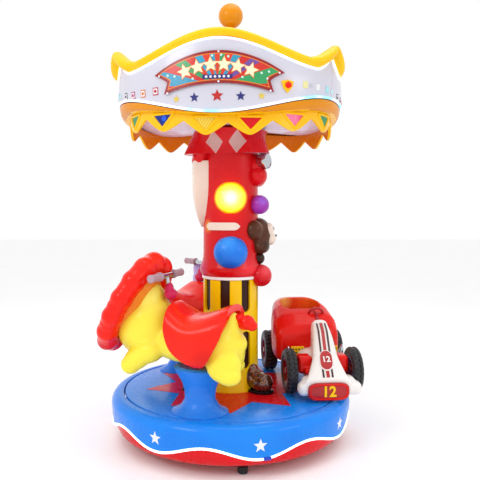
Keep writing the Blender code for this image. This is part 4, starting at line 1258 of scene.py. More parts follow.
def on_panel(pattern, spots, middle, surface, lift):
    """Copies of a flat pattern laid on a panel at (angle, height, size, lean)."""
    made = []
    for angle, height, size, lean in spots:
        piece = copied(pattern, "copy")
        turn = Matrix.Rotation(math.radians(lean), 3, "Y")
        for vertex in piece.data.vertices:
            point = turn @ Vector((vertex.co.x * size, vertex.co.y, vertex.co.z * size))
            vertex.co = (point.x, point.y - lift, point.z)
        made.append(wrapped(piece, middle + angle, height, surface))
    return made


print_dark_red = plain_finish("print_dark_red", "#9c1218", 0.25, grain=30.0)
print_orange = plain_finish("print_orange", "#f08418", 0.25, grain=30.0)
print_navy = plain_finish("print_navy", "#232878", 0.3, grain=30.0)
print_cream = plain_finish("print_cream", "#fff2c8", 0.3, grain=30.0)
print_pale = plain_finish("print_pale_mint", "#c8f0e0", 0.3, grain=30.0)
print_red = plain_finish("print_red", "#c4201c", 0.28, grain=30.0)
print_gold = plain_finish("print_gold", "#e8cc50", 0.28, grain=30.0)
sun_print = sunburst_print("print_sunburst")

star_flat = star_sheet("star_flat", 5, 1.0, 0.46, 0.0009, 2)
dot_flat = star_sheet("dot_flat", 10, 1.0, 1.0, 0.0009, 0)
strip_flat = star_sheet("strip_flat", 2, 1.0, 1.0, 0.0009, 4)
for vertex in strip_flat.data.vertices:
    wide = vertex.co.x + vertex.co.z
    tall = vertex.co.z - vertex.co.x
    vertex.co = (wide * 0.063, vertex.co.y, tall * 0.0085)

banner_stars, star_backs, dots, screws, strips, strip_dots = [], [], [], [], [], []
for index, middle in enumerate(PANEL_MIDDLES):
    board = banner_sheet(f"banner_board_{index + 1}", middle, 0.0, 0.0, 0.004, print_dark_red)
    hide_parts(f"sign_{index + 1}")
    banner_sheet(f"banner_line_{index + 1}", middle, 0.0115, 0.0042, 0.0005, print_orange)
    banner_sheet(f"banner_sunburst_{index + 1}", middle, 0.0155, 0.0048, 0.0005, sun_print)
    for kept, flat, spots, size, lean, lift in (
        (banner_stars, star_flat, BANNER_STARS, 0.033, 1.1, 0.0068),
        (star_backs, star_flat, BANNER_STARS, 0.039, 1.1, 0.0056),
        (dots, dot_flat, PALE_DOTS, 0.0052, 0, 0.0056),
        (screws, dot_flat, SCREWS, 0.0042, 0, 0.0056),
        (strips, strip_flat, [(0, STRIP_HEIGHT)], 1, 0, 0.0066),
        (strip_dots, dot_flat, [(-5 + 2 * k, STRIP_HEIGHT) for k in range(6)], 0.0052, 0, 0.0078),
    ):
        kept += on_panel(flat, [(a, z, size, a * lean) for a, z in spots], middle, banner_wall, lift)
bpy.data.objects.remove(strip_flat)
finished(joined(banner_stars), "banner_stars", print_cream)
finished(joined(star_backs), "banner_star_backs", print_orange)
finished(joined(dots), "banner_ray_dots", print_pale)
finished(joined(screws + strip_dots), "banner_screws", white_vinyl)
finished(joined(strips), "banner_lower_strip", print_navy)

# Panel stickers and knob
# Five vinyl stars under each banner, plain bordered badges on the left, blank label plates on
# the right, and a faceted red gem in a yellow moulded bezel screwed to the sheet.
PANEL_STARS = (
    (-19.9, 1.6095, 0.017, "gold"), (-11.1, 1.6125, 0.0215, "navy"), (-0.3, 1.617, 0.0275, "red"),
    (10.6, 1.6145, 0.0215, "navy"), (20.2, 1.6165, 0.017, "gold"),
)
BADGES = (
    (-52.6, 1.656, "#3c3c48"), (-45.7, 1.651, "#b81c6c"), (-38.4, 1.65, "#e07818"),
    (-30.8, 1.652, "#c0142c"),
)
LABELS = (
    (41.4, 1.678, 0.9, "#ece49c"), (44.6, 1.677, 0.55, "#c4c8cc"), (48.9, 1.675, 0.8, "#eef0f2"),
    (55.9, 1.674, 0.9, "#a8e4ec"), (60.0, 1.672, 0.6, "#c4ecf4"),
)
KNOB_ANGLE = 32.0
KNOB_HEIGHT = 1.667
BADGE_SIZE = 0.017


def face_wall(bearing, height):
    """The panel sheet's outer face, which bulges a little at its middle."""
    low, top = panel_low(bearing), panel_top((bearing - CANOPY_FRONT + 60) % 120 - 60)
    up = min(1, max(0, (height - low) / (top - low)))
    return canopy_wall(bearing) + PANEL_BULGE * math.sin(math.pi * up)


sticker_sets = {"gold": [], "navy": [], "red": []}
knobs, bezels = [], []
badge_flat = star_sheet("badge_flat", 2, 1.0, 1.0, 0.0008, 0)
for vertex in badge_flat.data.vertices:
    wide, tall = (vertex.co.x + vertex.co.z) / 1.414, (vertex.co.z - vertex.co.x) / 1.414
    vertex.co = (wide * 1.2, vertex.co.y, tall * 1.4)
modify(badge_flat, "BEVEL", width=0.5, segments=4, affect="EDGES", limit_method="ANGLE",
       angle_limit=math.radians(60))
label_sets = {}
for index, middle in enumerate(PANEL_MIDDLES):
    for angle, height, size, colour in PANEL_STARS:
        sticker_sets[colour] += on_panel(star_flat, [(angle, height, size, 0)], middle, face_wall, 0.0006)
    layers = [
        (flat, angle, height, size, part_colour, lift)
        for angle, height, colour in BADGES
        for flat, size, part_colour, lift in (
            (badge_flat, 1.0, colour, 0.0006), (badge_flat, 0.74, "#f4f0f2", 0.0014),
            (dot_flat, 0.4, colour, 0.0022),
        )
    ] + [(badge_flat, angle, height, size, colour, 0.0006) for angle, height, size, colour in LABELS]
    for flat, angle, height, size, colour, lift in layers:
        label_sets.setdefault(colour, []).extend(
            on_panel(flat, [(angle, height, BADGE_SIZE * size, 0)], middle, face_wall, lift))

    deselect()
    bpy.ops.mesh.primitive_ico_sphere_add(subdivisions=1, radius=0.0165)
    gem = bpy.context.object
    modify(gem, "BEVEL", width=0.0012, segments=2)
    for vertex in gem.data.vertices:
        vertex.co = (vertex.co.x, vertex.co.y * 0.75 - 0.012, vertex.co.z)
    knobs.append(wrapped(gem, middle + KNOB_ANGLE, KNOB_HEIGHT, face_wall))
    bezel = star_sheet("bezel", 3, 0.034, 0.023, 0.009, 1)
    modify(bezel, "BEVEL", width=0.004, segments=3, limit_method="ANGLE", angle_limit=math.radians(25))
    for vertex in bezel.data.vertices:
        vertex.co.z = -vertex.co.z
    bezel.data.flip_normals()
    bezels.append(wrapped(bezel, middle + KNOB_ANGLE, KNOB_HEIGHT, face_wall))
for pattern in (star_flat, dot_flat, badge_flat):
    bpy.data.objects.remove(pattern)
for colour, finish in (("gold", print_gold), ("navy", print_navy), ("red", print_red)):
    finished(joined(sticker_sets[colour]), f"panel_stars_{colour}", finish)
for number, (colour, pieces) in enumerate(label_sets.items()):
    finished(joined(pieces), f"panel_labels_{number + 1}",
             plain_finish(f"vinyl_label_{number + 1}", colour, 0.32))
finished(joined(knobs), "panel_gems", gelcoat("gelcoat_gem_red", "#ff2c10", "#e01808"), angle=15)
finished(joined(bezels), "panel_gem_bezels", crest_gelcoat, angle=35)

# Roof and finial
# The roof is a shallow white cone of gelcoat with pressed ribs, closed below by a ceiling in
# faint lavender. A turned orange ball on a stepped neck stands at its top.
ROOF_RIBS = 24
RIB_RELIEF = 0.006
ROOF_EDGE = 1.73
ROOF_PEAK = 2.01
ROOF_HUB = 0.08
ROOF_SHEET = 0.011
FINIAL_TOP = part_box("finial")[1].z
FINIAL_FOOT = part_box("finial")[0].z
FINIAL_BALL = 0.063


def roof_point(along, up):
    bearing = 360 * along
    edge = canopy_wall(bearing) - PANEL_WALL - 0.0003
    radius = edge + (ROOF_HUB * 0.3 - edge) * up
    rise = min(1.0, max(0.0, 1 - (radius - ROOF_HUB) / (edge - ROOF_HUB)))
    rib = abs(math.sin(math.radians(bearing * ROOF_RIBS / 2))) * math.sin(math.pi * min(1, rise * 1.02))
    valley = RIB_RELIEF * (1 - rib) * math.sin(math.pi * rise)
    return polar(radius, bearing, ROOF_EDGE + (ROOF_PEAK - ROOF_EDGE) * rise - valley)


roof = draped("canopy_roof", 289, 15, roof_point)
modify(roof, "WELD", merge_threshold=0.0002)
modify(roof, "SOLIDIFY", thickness=ROOF_SHEET, offset=-1 if roof.data.polygons[0].normal.z > 0 else 1)
finished(roof, "canopy_roof", gelcoat("gelcoat_white_roof", "#f2f2f4", "#e4e4ea"), angle=40,
         replaces=["roof"])
repaint("ceiling", gelcoat("gelcoat_lavender_ceiling", "#e9e2f2", "#dcd2ea"))

BALL_MIDDLE = FINIAL_TOP - FINIAL_BALL
finial = spun("canopy_finial", [
    (max(0.002, FINIAL_BALL * math.sin(math.radians(160) * k / 18)),
     BALL_MIDDLE + FINIAL_BALL * math.cos(math.radians(160) * k / 18))
    for k in range(19)
] + [
    (0.024, BALL_MIDDLE - 0.064), (0.027, BALL_MIDDLE - 0.07), (0.027, BALL_MIDDLE - 0.076),
    (0.036, BALL_MIDDLE - 0.081), (0.042, FINIAL_FOOT + 0.022), (0.05, FINIAL_FOOT + 0.016),
    (0.068, FINIAL_FOOT + 0.01), (0.0715, FINIAL_FOOT + 0.005), (0.0715, FINIAL_FOOT),
], 48)
finished(finial, "canopy_finial", amber_gelcoat, angle=35, replaces=["finial"])

# Pedestals
# Each figure stands on a flared blue gelcoated foot, moulded in one with a flange on the deck.
# It is seen between the figure's legs and from behind.
RIDER_CIRCLE = 0.42
LION_BEARING = -19
ELEPHANT_BEARING = 221
PEDESTAL_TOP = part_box("lion_pedestal")[1].z
PEDESTAL_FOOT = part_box("lion_pedestal")[0].z


def rider_frame(bearing, circle=RIDER_CIRCLE, turn=0.0):
    """From a figure's own axes (+X ahead, +Y outwards, +Z up from the base's underside)."""
    ahead = Matrix.Rotation(math.radians(180 + bearing + turn), 4, "Z")
    return Matrix.Translation(polar(circle, bearing, FLOOR_GAP)) @ ahead


def placed(obj, place):
    """Moves a mesh, drawn in a figure's own axes, to its place on the deck."""
    obj.data.transform(place)
    return obj


def between(stations, value, smooth=False):
    """Value at a place between (place, value) stations, in straight or in smooth steps."""
    for (x0, y0), (x1, y1) in zip(stations, stations[1:]):
        if value <= x1 or (x1, y1) == stations[-1]:
            share = min(1.0, max(0.0, (value - x0) / (x1 - x0)))
            if smooth:
                share *= share * (3 - 2 * share)
            return y0 + (y1 - y0) * share


pedestal_blue = gelcoat("gelcoat_blue_pedestal", "#2f86ea", "#2372dc")
lion_place = rider_frame(LION_BEARING)
elephant_place = rider_frame(ELEPHANT_BEARING)
for figure, place in (("lion", lion_place), ("elephant", elephant_place)):
    flare = spun(f"{figure}_pedestal_flare", [
        (0.06, PEDESTAL_TOP - 0.01), (0.085, PEDESTAL_TOP - 0.004), (0.098, PEDESTAL_TOP - 0.012),
        (0.09, PEDESTAL_TOP - 0.03), (0.068, PEDESTAL_TOP - 0.075), (0.058, 0.33), (0.062, 0.29),
        (0.08, 0.255), (0.106, PEDESTAL_FOOT + 0.009), (0.115, PEDESTAL_FOOT + 0.004),
        (0.115, PEDESTAL_FOOT),
    ], 72)
    for vertex in flare.data.vertices:
        vertex.co.x *= 1.25 if vertex.co.z > 0.33 else 1.12
        vertex.co.z -= FLOOR_GAP
    finished(placed(flare, place), f"{figure}_pedestal_flare", pedestal_blue, angle=40,
             replaces=[f"{figure}_pedestal"])

# Lion
# A seat figure laid up as one hollow fibreglass shell: lemon yellow body with stubby legs, a
# mane of fat red lobes round an orange collar, and a hidden face that looks away from the eye.
MANE_MIDDLE = Vector((0.337, 0, 0.65))
MANE_TILT = -30
MANE_LOBES = 14
MANE_HALF_WIDTH = 0.148
MANE_HALF_HEIGHT = 0.208
FAR_LEG_AHEAD = 0.045

# The colour clouds are painted light: a lighter lemon highlight on top and painted shade low on the chest,
# purplish painted shade on the mane's lower lobes and a brighter painted highlight at its crown, and a
# lighter painted highlight on the upper collar.
lemon_gelcoat = gelcoat("gelcoat_lemon", "#f9ea4e", "#f2df3c", painted_light_clouds=(
    (lion_place @ Vector((0.22, 0.1, 0.73)), 0.14, "#fcf272", 1.0),
    (lion_place @ Vector((0.33, 0.1, 0.46)), 0.09, "#dcc822", 1.0),
))
mane_gelcoat = gelcoat("gelcoat_mane_red", "#f7210f", "#ea160d", painted_light_clouds=(
    (lion_place @ Vector((0.5, 0.1, 0.43)), 0.13, "#b3123a", 1.0),
    (lion_place @ Vector((0.24, 0.05, 0.88)), 0.1, "#fd3016", 1.0),
))
collar_gelcoat = gelcoat("gelcoat_lion_collar", "#f08a1c", "#e87a14", painted_light_clouds=(
    (lion_place @ Vector((0.24, 0.12, 0.8)), 0.16, "#f7a41e", 1.0),
))
lion_body = fused("lion_body", [
    ellipsoid((0.144, 0.13, 0.15), (0.262, 0, 0.552)),
    ellipsoid((0.085, 0.098, 0.125), (0.262, 0, 0.632), (0, -12, 0)),
    ellipsoid((0.24, 0.128, 0.1), (0.02, 0, 0.493)),
    ellipsoid((0.098, 0.124, 0.148), (-0.106, 0, 0.482), (0, 10, 0)),
    ellipsoid((0.05, 0.07, 0.066), (-0.142, 0, 0.572), (0, 10, 0)),
] + [
    ellipsoid(size, (ahead + (far_leg if side < 0 else 0), side * out, up), (0, lean, 0))
    for side in (-1, 1)
    for ahead, out, up, size, lean, far_leg in (
        (0.29, 0.108, 0.392, (0.046, 0.044, 0.043), 0, 0),
        (0.262, 0.102, 0.42, (0.062, 0.05, 0.05), 25, 0),
        (0.215, 0.09, 0.452, (0.075, 0.055, 0.055), 20, 0),
        (-0.142, 0.085, 0.42, (0.08, 0.05, 0.08), -10, FAR_LEG_AHEAD),
        (-0.17, 0.095, 0.375, (0.055, 0.045, 0.04), 0, FAR_LEG_AHEAD),
    )
], 0.0065, 14)
finished(placed(lion_body, lion_place), "lion_body_shell", lemon_gelcoat, angle=60,
         replaces=["lion_body"])

tilt = Matrix.Rotation(math.radians(MANE_TILT), 3, "Y")
lobes = []
for k in range(MANE_LOBES):
    turn = math.tau * (k + 0.5) / MANE_LOBES
    crown = max(0.0, math.sin(turn))
    far = max(0.0, -math.cos(turn)) * crown
    fat = 0.053 + 0.006 * crown + 0.008 * far
    at = MANE_MIDDLE + tilt @ Vector((-0.04 * far, MANE_HALF_WIDTH * math.cos(turn),
                                      MANE_HALF_HEIGHT * math.sin(turn)))
    lobes.append(ellipsoid((fat * 0.95, fat, fat * 1.02), at, (0, MANE_TILT, 0), 24, 14))
    between_turn = turn + math.pi / MANE_LOBES
    at = MANE_MIDDLE + tilt @ Vector((0, MANE_HALF_WIDTH * math.cos(between_turn) * 0.98,
                                      MANE_HALF_HEIGHT * math.sin(between_turn) * 0.98))
    lobes.append(ellipsoid((fat * 0.9, fat * 0.93, fat * 0.93), at, (0, MANE_TILT, 0), 20, 12))
mane = fused("lion_mane_ring", lobes, 0.006, 9)
finished(placed(mane, lion_place), "lion_mane_ring", mane_gelcoat, angle=60,
         replaces=["lion_mane"])
lion_collar = fused("lion_mane_collar", [
    ellipsoid((0.05, 0.132, 0.172), MANE_MIDDLE + tilt @ Vector((-0.03, 0, 0)), (0, MANE_TILT, 0)),
    ellipsoid((0.04, 0.12, 0.158), MANE_MIDDLE + tilt @ Vector((-0.052, 0, -0.004)), (0, MANE_TILT, 0)),
], 0.006, 6)
finished(placed(lion_collar, lion_place), "lion_mane_collar", collar_gelcoat, angle=60)
lion_face = fused("lion_face", [
    ellipsoid((0.07, 0.105, 0.13), (0.33, 0, 0.652), (0, MANE_TILT, 0)),
    ellipsoid((0.05, 0.042, 0.042), (0.388, 0.032, 0.612)),
    ellipsoid((0.05, 0.042, 0.042), (0.388, -0.032, 0.612)),
    ellipsoid((0.036, 0.036, 0.028), (0.376, 0, 0.58)),
    ellipsoid((0.03, 0.03, 0.05), (0.378, 0, 0.655), (0, -20, 0)),
], 0.0045, 6)
finished(placed(lion_face, lion_place), "lion_face", gelcoat("gelcoat_lion_face", "#f9b02a", "#f29c18"),
         angle=60, replaces=["lion_head"])
lion_features = joined([
    ellipsoid((0.014, 0.022, 0.015), (0.429, 0, 0.638), across=20, around=12),
    ellipsoid((0.01, 0.012, 0.02), (0.386, 0.045, 0.69), (0, -20, 12), 20, 12),
    ellipsoid((0.01, 0.012, 0.02), (0.386, -0.045, 0.69), (0, -20, -12), 20, 12),
])
finished(placed(lion_features, lion_place), "lion_nose_and_eyes", black_gelcoat)
lion_tail = fused("lion_tail_tuft", [
    ellipsoid((0.04, 0.034, 0.032), (-0.215, 0, 0.59), (0, 20, 0)),
    ellipsoid((0.026, 0.024, 0.024), (-0.242, 0, 0.578)),
    ellipsoid((0.026, 0.024, 0.022), (-0.185, 0, 0.604)),
], 0.004, 4)
finished(placed(lion_tail, lion_place), "lion_tail_tuft", mane_gelcoat, angle=60,
         replaces=["lion_tail"])

# Saddles and handles
# Lion and elephant carry the same red saddle: a thick moulded blanket that dips between pommel
# and cantle, with a hem cut to a U. A steel bar with grips stands in a socket before it.
SADDLE_TOP = ((-0.19, 0.664), (0.008, 0.61), (0.15, 0.674))
SADDLE_FRONT = (
    (0.405, -0.03), (0.43, 0.03), (0.47, 0.08), (0.51, 0.105), (0.56, 0.121), (0.64, 0.12),
    (0.72, 0.085),
)
SADDLE_REAR = (
    (0.405, -0.05), (0.43, -0.085), (0.46, -0.103), (0.52, -0.138), (0.595, -0.168), (0.63, -0.168),
    (0.66, -0.155),
)
SADDLE_WAIST = 0.52
SADDLE_WIDTH = 0.163
SADDLE_HIGH = 0.13
SADDLE_DEEP = 0.15
SADDLE_TURN = 133
SADDLE_BOX = 0.75
SADDLE_PAD = 0.03


def squared(turn, side_power, rise_power):
    """A point of a rounded square at a turn, one unit from its middle: the lower the powers, the
    squarer it is."""
    return (math.copysign(abs(math.cos(turn)) ** side_power, math.cos(turn)),
            math.copysign(abs(math.sin(turn)) ** rise_power, math.sin(turn)))


def saddle(name, place, finish, node):
    def place_at(along, up):
        rise, side = squared(math.radians(SADDLE_TURN * (2 * up - 1)), SADDLE_BOX, SADDLE_BOX)
        level = SADDLE_WAIST + (SADDLE_HIGH if rise > 0 else SADDLE_DEEP) * rise
        rear, front = between(SADDLE_REAR, level), between(SADDLE_FRONT, level)
        ahead = rear + (front - rear) * along
        top = between(SADDLE_TOP, ahead, smooth=True) + 0.004 - SADDLE_WAIST
        wide = SADDLE_WIDTH - 0.9 * (ahead + 0.03) ** 2
        return Vector((ahead, wide * side, SADDLE_WAIST + (top if rise > 0 else SADDLE_DEEP) * rise))

    pad = draped(name, 49, 65, place_at)
    modify(pad, "SMOOTH", factor=0.5, iterations=4)
    middle = pad.data.polygons[len(pad.data.polygons) // 2]
    modify(pad, "SOLIDIFY", thickness=SADDLE_PAD, offset=-1 if middle.normal.z > 0 else 1)
    modify(pad, "BEVEL", width=0.005, segments=3, limit_method="ANGLE", angle_limit=math.radians(55))
    finished(placed(pad, place), name, finish, angle=50, replaces=[node])


def handle(figure, place, bar_ahead, bar_height):
    bars = []
    for start, end, radius in (
        ((bar_ahead, -0.14, bar_height), (bar_ahead, 0.14, bar_height), 0.0125),
        ((bar_ahead - 0.02, 0, bar_height - 0.09), (bar_ahead, 0, bar_height), 0.011),
    ):
        points = [Vector(start).lerp(Vector(end), k / 8) for k in range(9)]
        bars.append(tube_along(points, radius, 16))
    finished(placed(joined(bars), place), f"{figure}_handle_bar", polished_chrome, angle=50,
             replaces=[f"{figure}_handle"])
    grips = []
    for side in (-1, 1):
        grip = spun("grip", [
            (0.006, 0.056), (0.014, 0.055), (0.0185, 0.05), (0.0175, 0.042), (0.0165, 0.02), (0.0175, 0.0),
            (0.0165, -0.02), (0.0165, -0.03), (0.021, -0.036), (0.021, -0.041), (0.013, -0.043),
        ], 28)
        grip.data.transform(Matrix.Translation((bar_ahead, side * 0.11, bar_height))
                            @ Matrix.Rotation(-side * math.pi / 2, 4, "X"))
        grips.append(grip)
    finished(placed(joined(grips), place), f"{figure}_handle_grips", rubber_mauve, angle=40)
    boss = fused("boss", [
        ellipsoid((0.03, 0.034, 0.026), (bar_ahead - 0.022, 0, bar_height - 0.085)),
        ellipsoid((0.02, 0.022, 0.03), (bar_ahead - 0.014, 0, bar_height - 0.06)),
    ], 0.003, 4)
    finished(placed(boss, place), f"{figure}_handle_boss", boss_gelcoat)


rubber_mauve = plain_finish("rubber_grip_mauve", "#b898a4", 0.45, grain=90.0)
boss_gelcoat = gelcoat("gelcoat_boss_magenta", "#d8285c", "#c01c50")
# Its clouds are a painted highlight on the top and painted shade lower down.
saddle_gelcoat = gelcoat("gelcoat_saddle_red", "#f5220e", "#ec1a0c", painted_light_clouds=(
    (lion_place @ Vector((0.0, 0.15, 0.62)), 0.12, "#fb3214", 1.0),
    (lion_place @ Vector((-0.08, 0.16, 0.44)), 0.1, "#dc1408", 1.0),
))
saddle("lion_saddle_pad", lion_place, saddle_gelcoat, "lion_saddle")
handle("lion", lion_place, 0.165, 0.782)

# Race car
# An open-wheeled toy racer moulded in red and white gelcoat: a red tub with a cockpit, a white
# hood that runs down into a wide nose, and four block-treaded black tyres on dark red hubs.
CAR_BEARING = 101
CAR_CIRCLE = 0.437
CAR_TURN = -5
AXLE_HEIGHT = 0.29
TYRE_RADIUS = 0.1075
HUB_RADIUS = 0.062
TUB = (
    (-0.335, 0.42, 0.09, 0.1), (-0.3, 0.43, 0.13, 0.15), (-0.2, 0.43, 0.145, 0.157),
    (-0.13, 0.42, 0.165, 0.15),
    (-0.03, 0.4, 0.175, 0.13), (0.03, 0.38, 0.165, 0.1), (0.052, 0.37, 0.14, 0.07),
)
HOOD = (
    (-0.02, 0.4, 0.042, 0.09), (0.05, 0.405, 0.048, 0.105), (0.16, 0.38, 0.055, 0.09),
    (0.26, 0.33, 0.066, 0.06),
    (0.33, 0.285, 0.094, 0.037), (0.362, 0.262, 0.118, 0.025),
)
HULL = ((-0.3, 0.3, 0.1, 0.05), (-0.1, 0.3, 0.12, 0.06), (0.1, 0.3, 0.09, 0.07), (0.33, 0.26, 0.08, 0.05))
HOOD_LINE = ((-0.02, 0.03), (0.05, 0.03), (0.16, 0.017), (0.26, 0.003), (0.33, -0.006), (0.4, -0.01))
TUB_LINE = ((-0.34, -0.034), (0.06, -0.03))
car_place = rider_frame(CAR_BEARING, CAR_CIRCLE, CAR_TURN)


def station_at(stations, ahead, column):
    return between([(row[0], row[column]) for row in stations], ahead)


def moulding(name, stations, box, sway=None, along=40, around=48):
    """A closed form through (ahead, height, half width, half height) stations."""
    first, last = stations[0][0], stations[-1][0]

    def place_at(share, up):
        ahead = first + (last - first) * share
        side, rise = squared(math.tau * up, box, box)
        middle = between(sway, ahead) if sway else 0
        return Vector((ahead, middle + station_at(stations, ahead, 2) * side,
                       station_at(stations, ahead, 1) + station_at(stations, ahead, 3) * rise))

    return closed_up(draped(name, along, around, place_at))


def rounded_block(name, size, at, round_edge):
    deselect()
    bpy.ops.mesh.primitive_cube_add(size=1, location=at, scale=size)
    obj = bpy.context.object
    obj.name = name
    bpy.ops.object.transform_apply(location=True, scale=True)
    return modify(obj, "BEVEL", width=round_edge, segments=5)


car_white = gelcoat("gelcoat_car_white", "#f2efec", "#e6e1dd")
# Its clouds are painted light: an orange painted reflection and a pale painted highlight on the cockpit
# surround, and purplish painted shade low on one side.
car_red = gelcoat("gelcoat_car_red", "#e8180e", "#d8120a", painted_light_clouds=(
    (car_place @ Vector((-0.24, 0.05, 0.55)), 0.16, "#f4641c", 1.0),
    (car_place @ Vector((-0.24, -0.1, 0.56)), 0.06, "#f7b45c", 1.0),
    (car_place @ Vector((-0.2, -0.2, 0.5)), 0.1, "#c81a3c", 1.0),
))
tub = moulding("car_tub", TUB, 0.5, TUB_LINE)
well = rounded_block("cockpit_well", (0.16, 0.21, 0.24), (-0.16, -0.03, 0.54), 0.045)
modify(tub, "BOOLEAN", operation="DIFFERENCE", object=well, solver="EXACT")
bpy.data.objects.remove(well)
tub = fused("car_tub", [tub], 0.0055, 5)
finished(placed(tub, car_place), "car_tub", car_red, angle=50, replaces=["car_cowl"])
hull = fused("car_hull_and_hood", [
    moulding("hull", HULL, 0.7), moulding("hood", HOOD, 0.6, HOOD_LINE),
    rounded_block("nose", (0.07, 0.305, 0.062), (0.33, 0.004, 0.238), 0.024),
    rounded_block("nose_step", (0.08, 0.26, 0.06), (0.305, 0.004, 0.258), 0.027),
], 0.0055, 5)
finished(placed(hull, car_place), "car_hull_and_hood", car_white, angle=50,
         replaces=["car_body"])

# Car markings
# Vinyl stripes run down the hood in dark red and red, broken by a red badge, and a red plate in
# a raised frame is screwed on the nose. Both carry plain numerals only.
STRIPES = ((0.0, 0.0078, "red"), (-0.0215, 0.0045, "dark"), (0.0215, 0.0045, "dark"))
STRIPE_RUNS = ((0.085, 0.262), (0.326, 0.356))
PLATE_AHEAD = 0.3665
PLATE_MIDDLE = (-0.01, 0.2335)
PLATE_BOX = (0.45, 0.6)
BADGE_AHEAD = 0.294
NUMERAL = "12"


def hood_top(ahead, side):
    """Height of the hood's upper face at a place beside its middle line."""
    wide, high = station_at(HOOD, ahead, 2), station_at(HOOD, ahead, 3)
    return station_at(HOOD, ahead, 1) + high * max(0.0, 1 - abs(side / wide) ** (2 / 0.6)) ** 0.3


def hood_sheet(name, start, end, middle, half, lift, outline=None):
    def place_at(along, up):
        ahead = start + (end - start) * along
        reach = half * (outline(along) if outline else 1)
        side = middle + reach * (2 * up - 1)
        return Vector((ahead, between(HOOD_LINE, ahead) + side, hood_top(ahead, side) + lift))

    sheet = draped(name, 33, 7, place_at)
    if sheet.data.polygons[60].normal.z < 0:
        sheet.data.flip_normals()
    return modify(sheet, "SOLIDIFY", thickness=0.0012, offset=-1)


def numeral(size, thickness):
    """A plain numeral as a mesh in the XZ plane that faces -Y."""
    deselect()
    bpy.ops.object.text_add(rotation=(math.pi / 2, 0, 0))
    obj = bpy.context.object
    obj.data.body = NUMERAL
    obj.data.size = size
    obj.data.extrude = thickness
    obj.data.offset = size * 0.03
    obj.data.align_x = "CENTER"
    obj.data.align_y = "CENTER"
    bpy.ops.object.convert(target="MESH")
    bpy.ops.object.transform_apply(location=True, rotation=True)
    return bpy.context.object


vinyl_red = plain_finish("vinyl_red", "#b8141c", 0.3, grain=30.0)
vinyl_dark = plain_finish("vinyl_dark_maroon", "#3c1014", 0.3, grain=30.0)
runs = {"red": [], "dark": []}
for middle, half, colour in STRIPES:
    for start, end in STRIPE_RUNS:
        runs[colour].append(hood_sheet("stripe", start, end, middle, half, 0.0022))
finished(placed(joined(runs["red"]), car_place), "car_stripe_red", vinyl_red)
finished(placed(joined(runs["dark"]), car_place), "car_stripes_dark", vinyl_dark)


def badge_outline(along):
    return max(0.08, 1 - abs(2 * along - 1) ** 3.2) ** 0.5


badge_rim = hood_sheet("badge_rim", 0.254, 0.334, 0, 0.0335, 0.0034, badge_outline)
finished(placed(badge_rim, car_place), "car_badge_rim", car_white)
badge = hood_sheet("badge", 0.258, 0.33, 0, 0.0295, 0.005, badge_outline)
finished(placed(badge, car_place), "car_badge", vinyl_red)
badge_number = numeral(0.042, 0.0008)
slope = math.atan2(hood_top(0.27, 0) - hood_top(0.32, 0), 0.05)
badge_number.data.transform(
    Matrix.Translation((BADGE_AHEAD, between(HOOD_LINE, BADGE_AHEAD), hood_top(BADGE_AHEAD, 0) + 0.007))
    @ Matrix.Rotation(slope - math.pi / 2, 4, "Y") @ Matrix.Rotation(math.pi / 2, 4, "Z"))
finished(placed(badge_number, car_place), "car_badge_numeral", car_white)

turned_front = Matrix.Translation((PLATE_AHEAD, *PLATE_MIDDLE)) @ Matrix.Rotation(math.pi / 2, 4, "Z")
plate = spun("car_front_plate", [
    (0.02, 0.006), (0.9, 0.007), (0.97, 0.005), (1.0, 0.0), (0.97, -0.005), (0.02, -0.006),
], 96)
for vertex in plate.data.vertices:
    reach = math.hypot(vertex.co.x, vertex.co.y)
    side, rise = squared(math.atan2(vertex.co.y, vertex.co.x), *PLATE_BOX)
    vertex.co.x, vertex.co.y = 0.099 * reach * side, 0.042 * reach * rise
plate.data.transform(
    turned_front @ Matrix.Translation((0, -0.0045, 0)) @ Matrix.Rotation(math.pi / 2, 4, "X"))
finished(placed(plate, car_place), "car_front_plate", vinyl_red,
         replaces=["car_number_plate"])
edge = []
for k in range(64):
    side, rise = squared(math.tau * k / 64, *PLATE_BOX)
    edge.append(Vector((0.088 * side, -0.0115, 0.033 * rise)))
border = tube_along(edge, 0.0038, 8, closed=True)
border.data.transform(turned_front)
finished(placed(border, car_place), "car_plate_border", car_red)
plate_number = numeral(0.068, 0.0012)
plate_number.data.transform(turned_front @ Matrix.Translation((0, -0.0135, 0)))
finished(placed(plate_number, car_place), "car_plate_numeral", crest_gelcoat)

# Wheels and running gear
# Moulded rubber tyres with a block tread and dark red dished hubs, on chromed axle stubs. Red
# suspension blocks stand beside the hood, with a yellow vent panel behind each.
TREAD_BLOCKS = 26
TREAD_DEPTH = 0.0055
WHEELS = (
    ("front_left", 0.2, 0.1353, 0.052), ("front_right", 0.2, -0.1873, 0.052),
    ("rear_left", -0.25, 0.1503, 0.07), ("rear_right", -0.25, -0.2203, 0.07),
)


def tread_rubber():
    # Rubber is dull and dusty in the tread and a little polished on the wall.
    made, tree, shader, place = blank_material("rubber_tyre")
    dust = noise(tree, place, 55.0, 5.0)
    feed(tree, shader, {
        "Base Color": tinted(tree, dust, linear("#101014"), linear("#2c2c32")),
        "Roughness": spread(tree, dust, 0.0, 1.0, 0.28, 0.6),
        "Normal": bumps(tree, noise(tree, place, 420.0, 2.0), 0.3, 0.0004),
    })
    return made


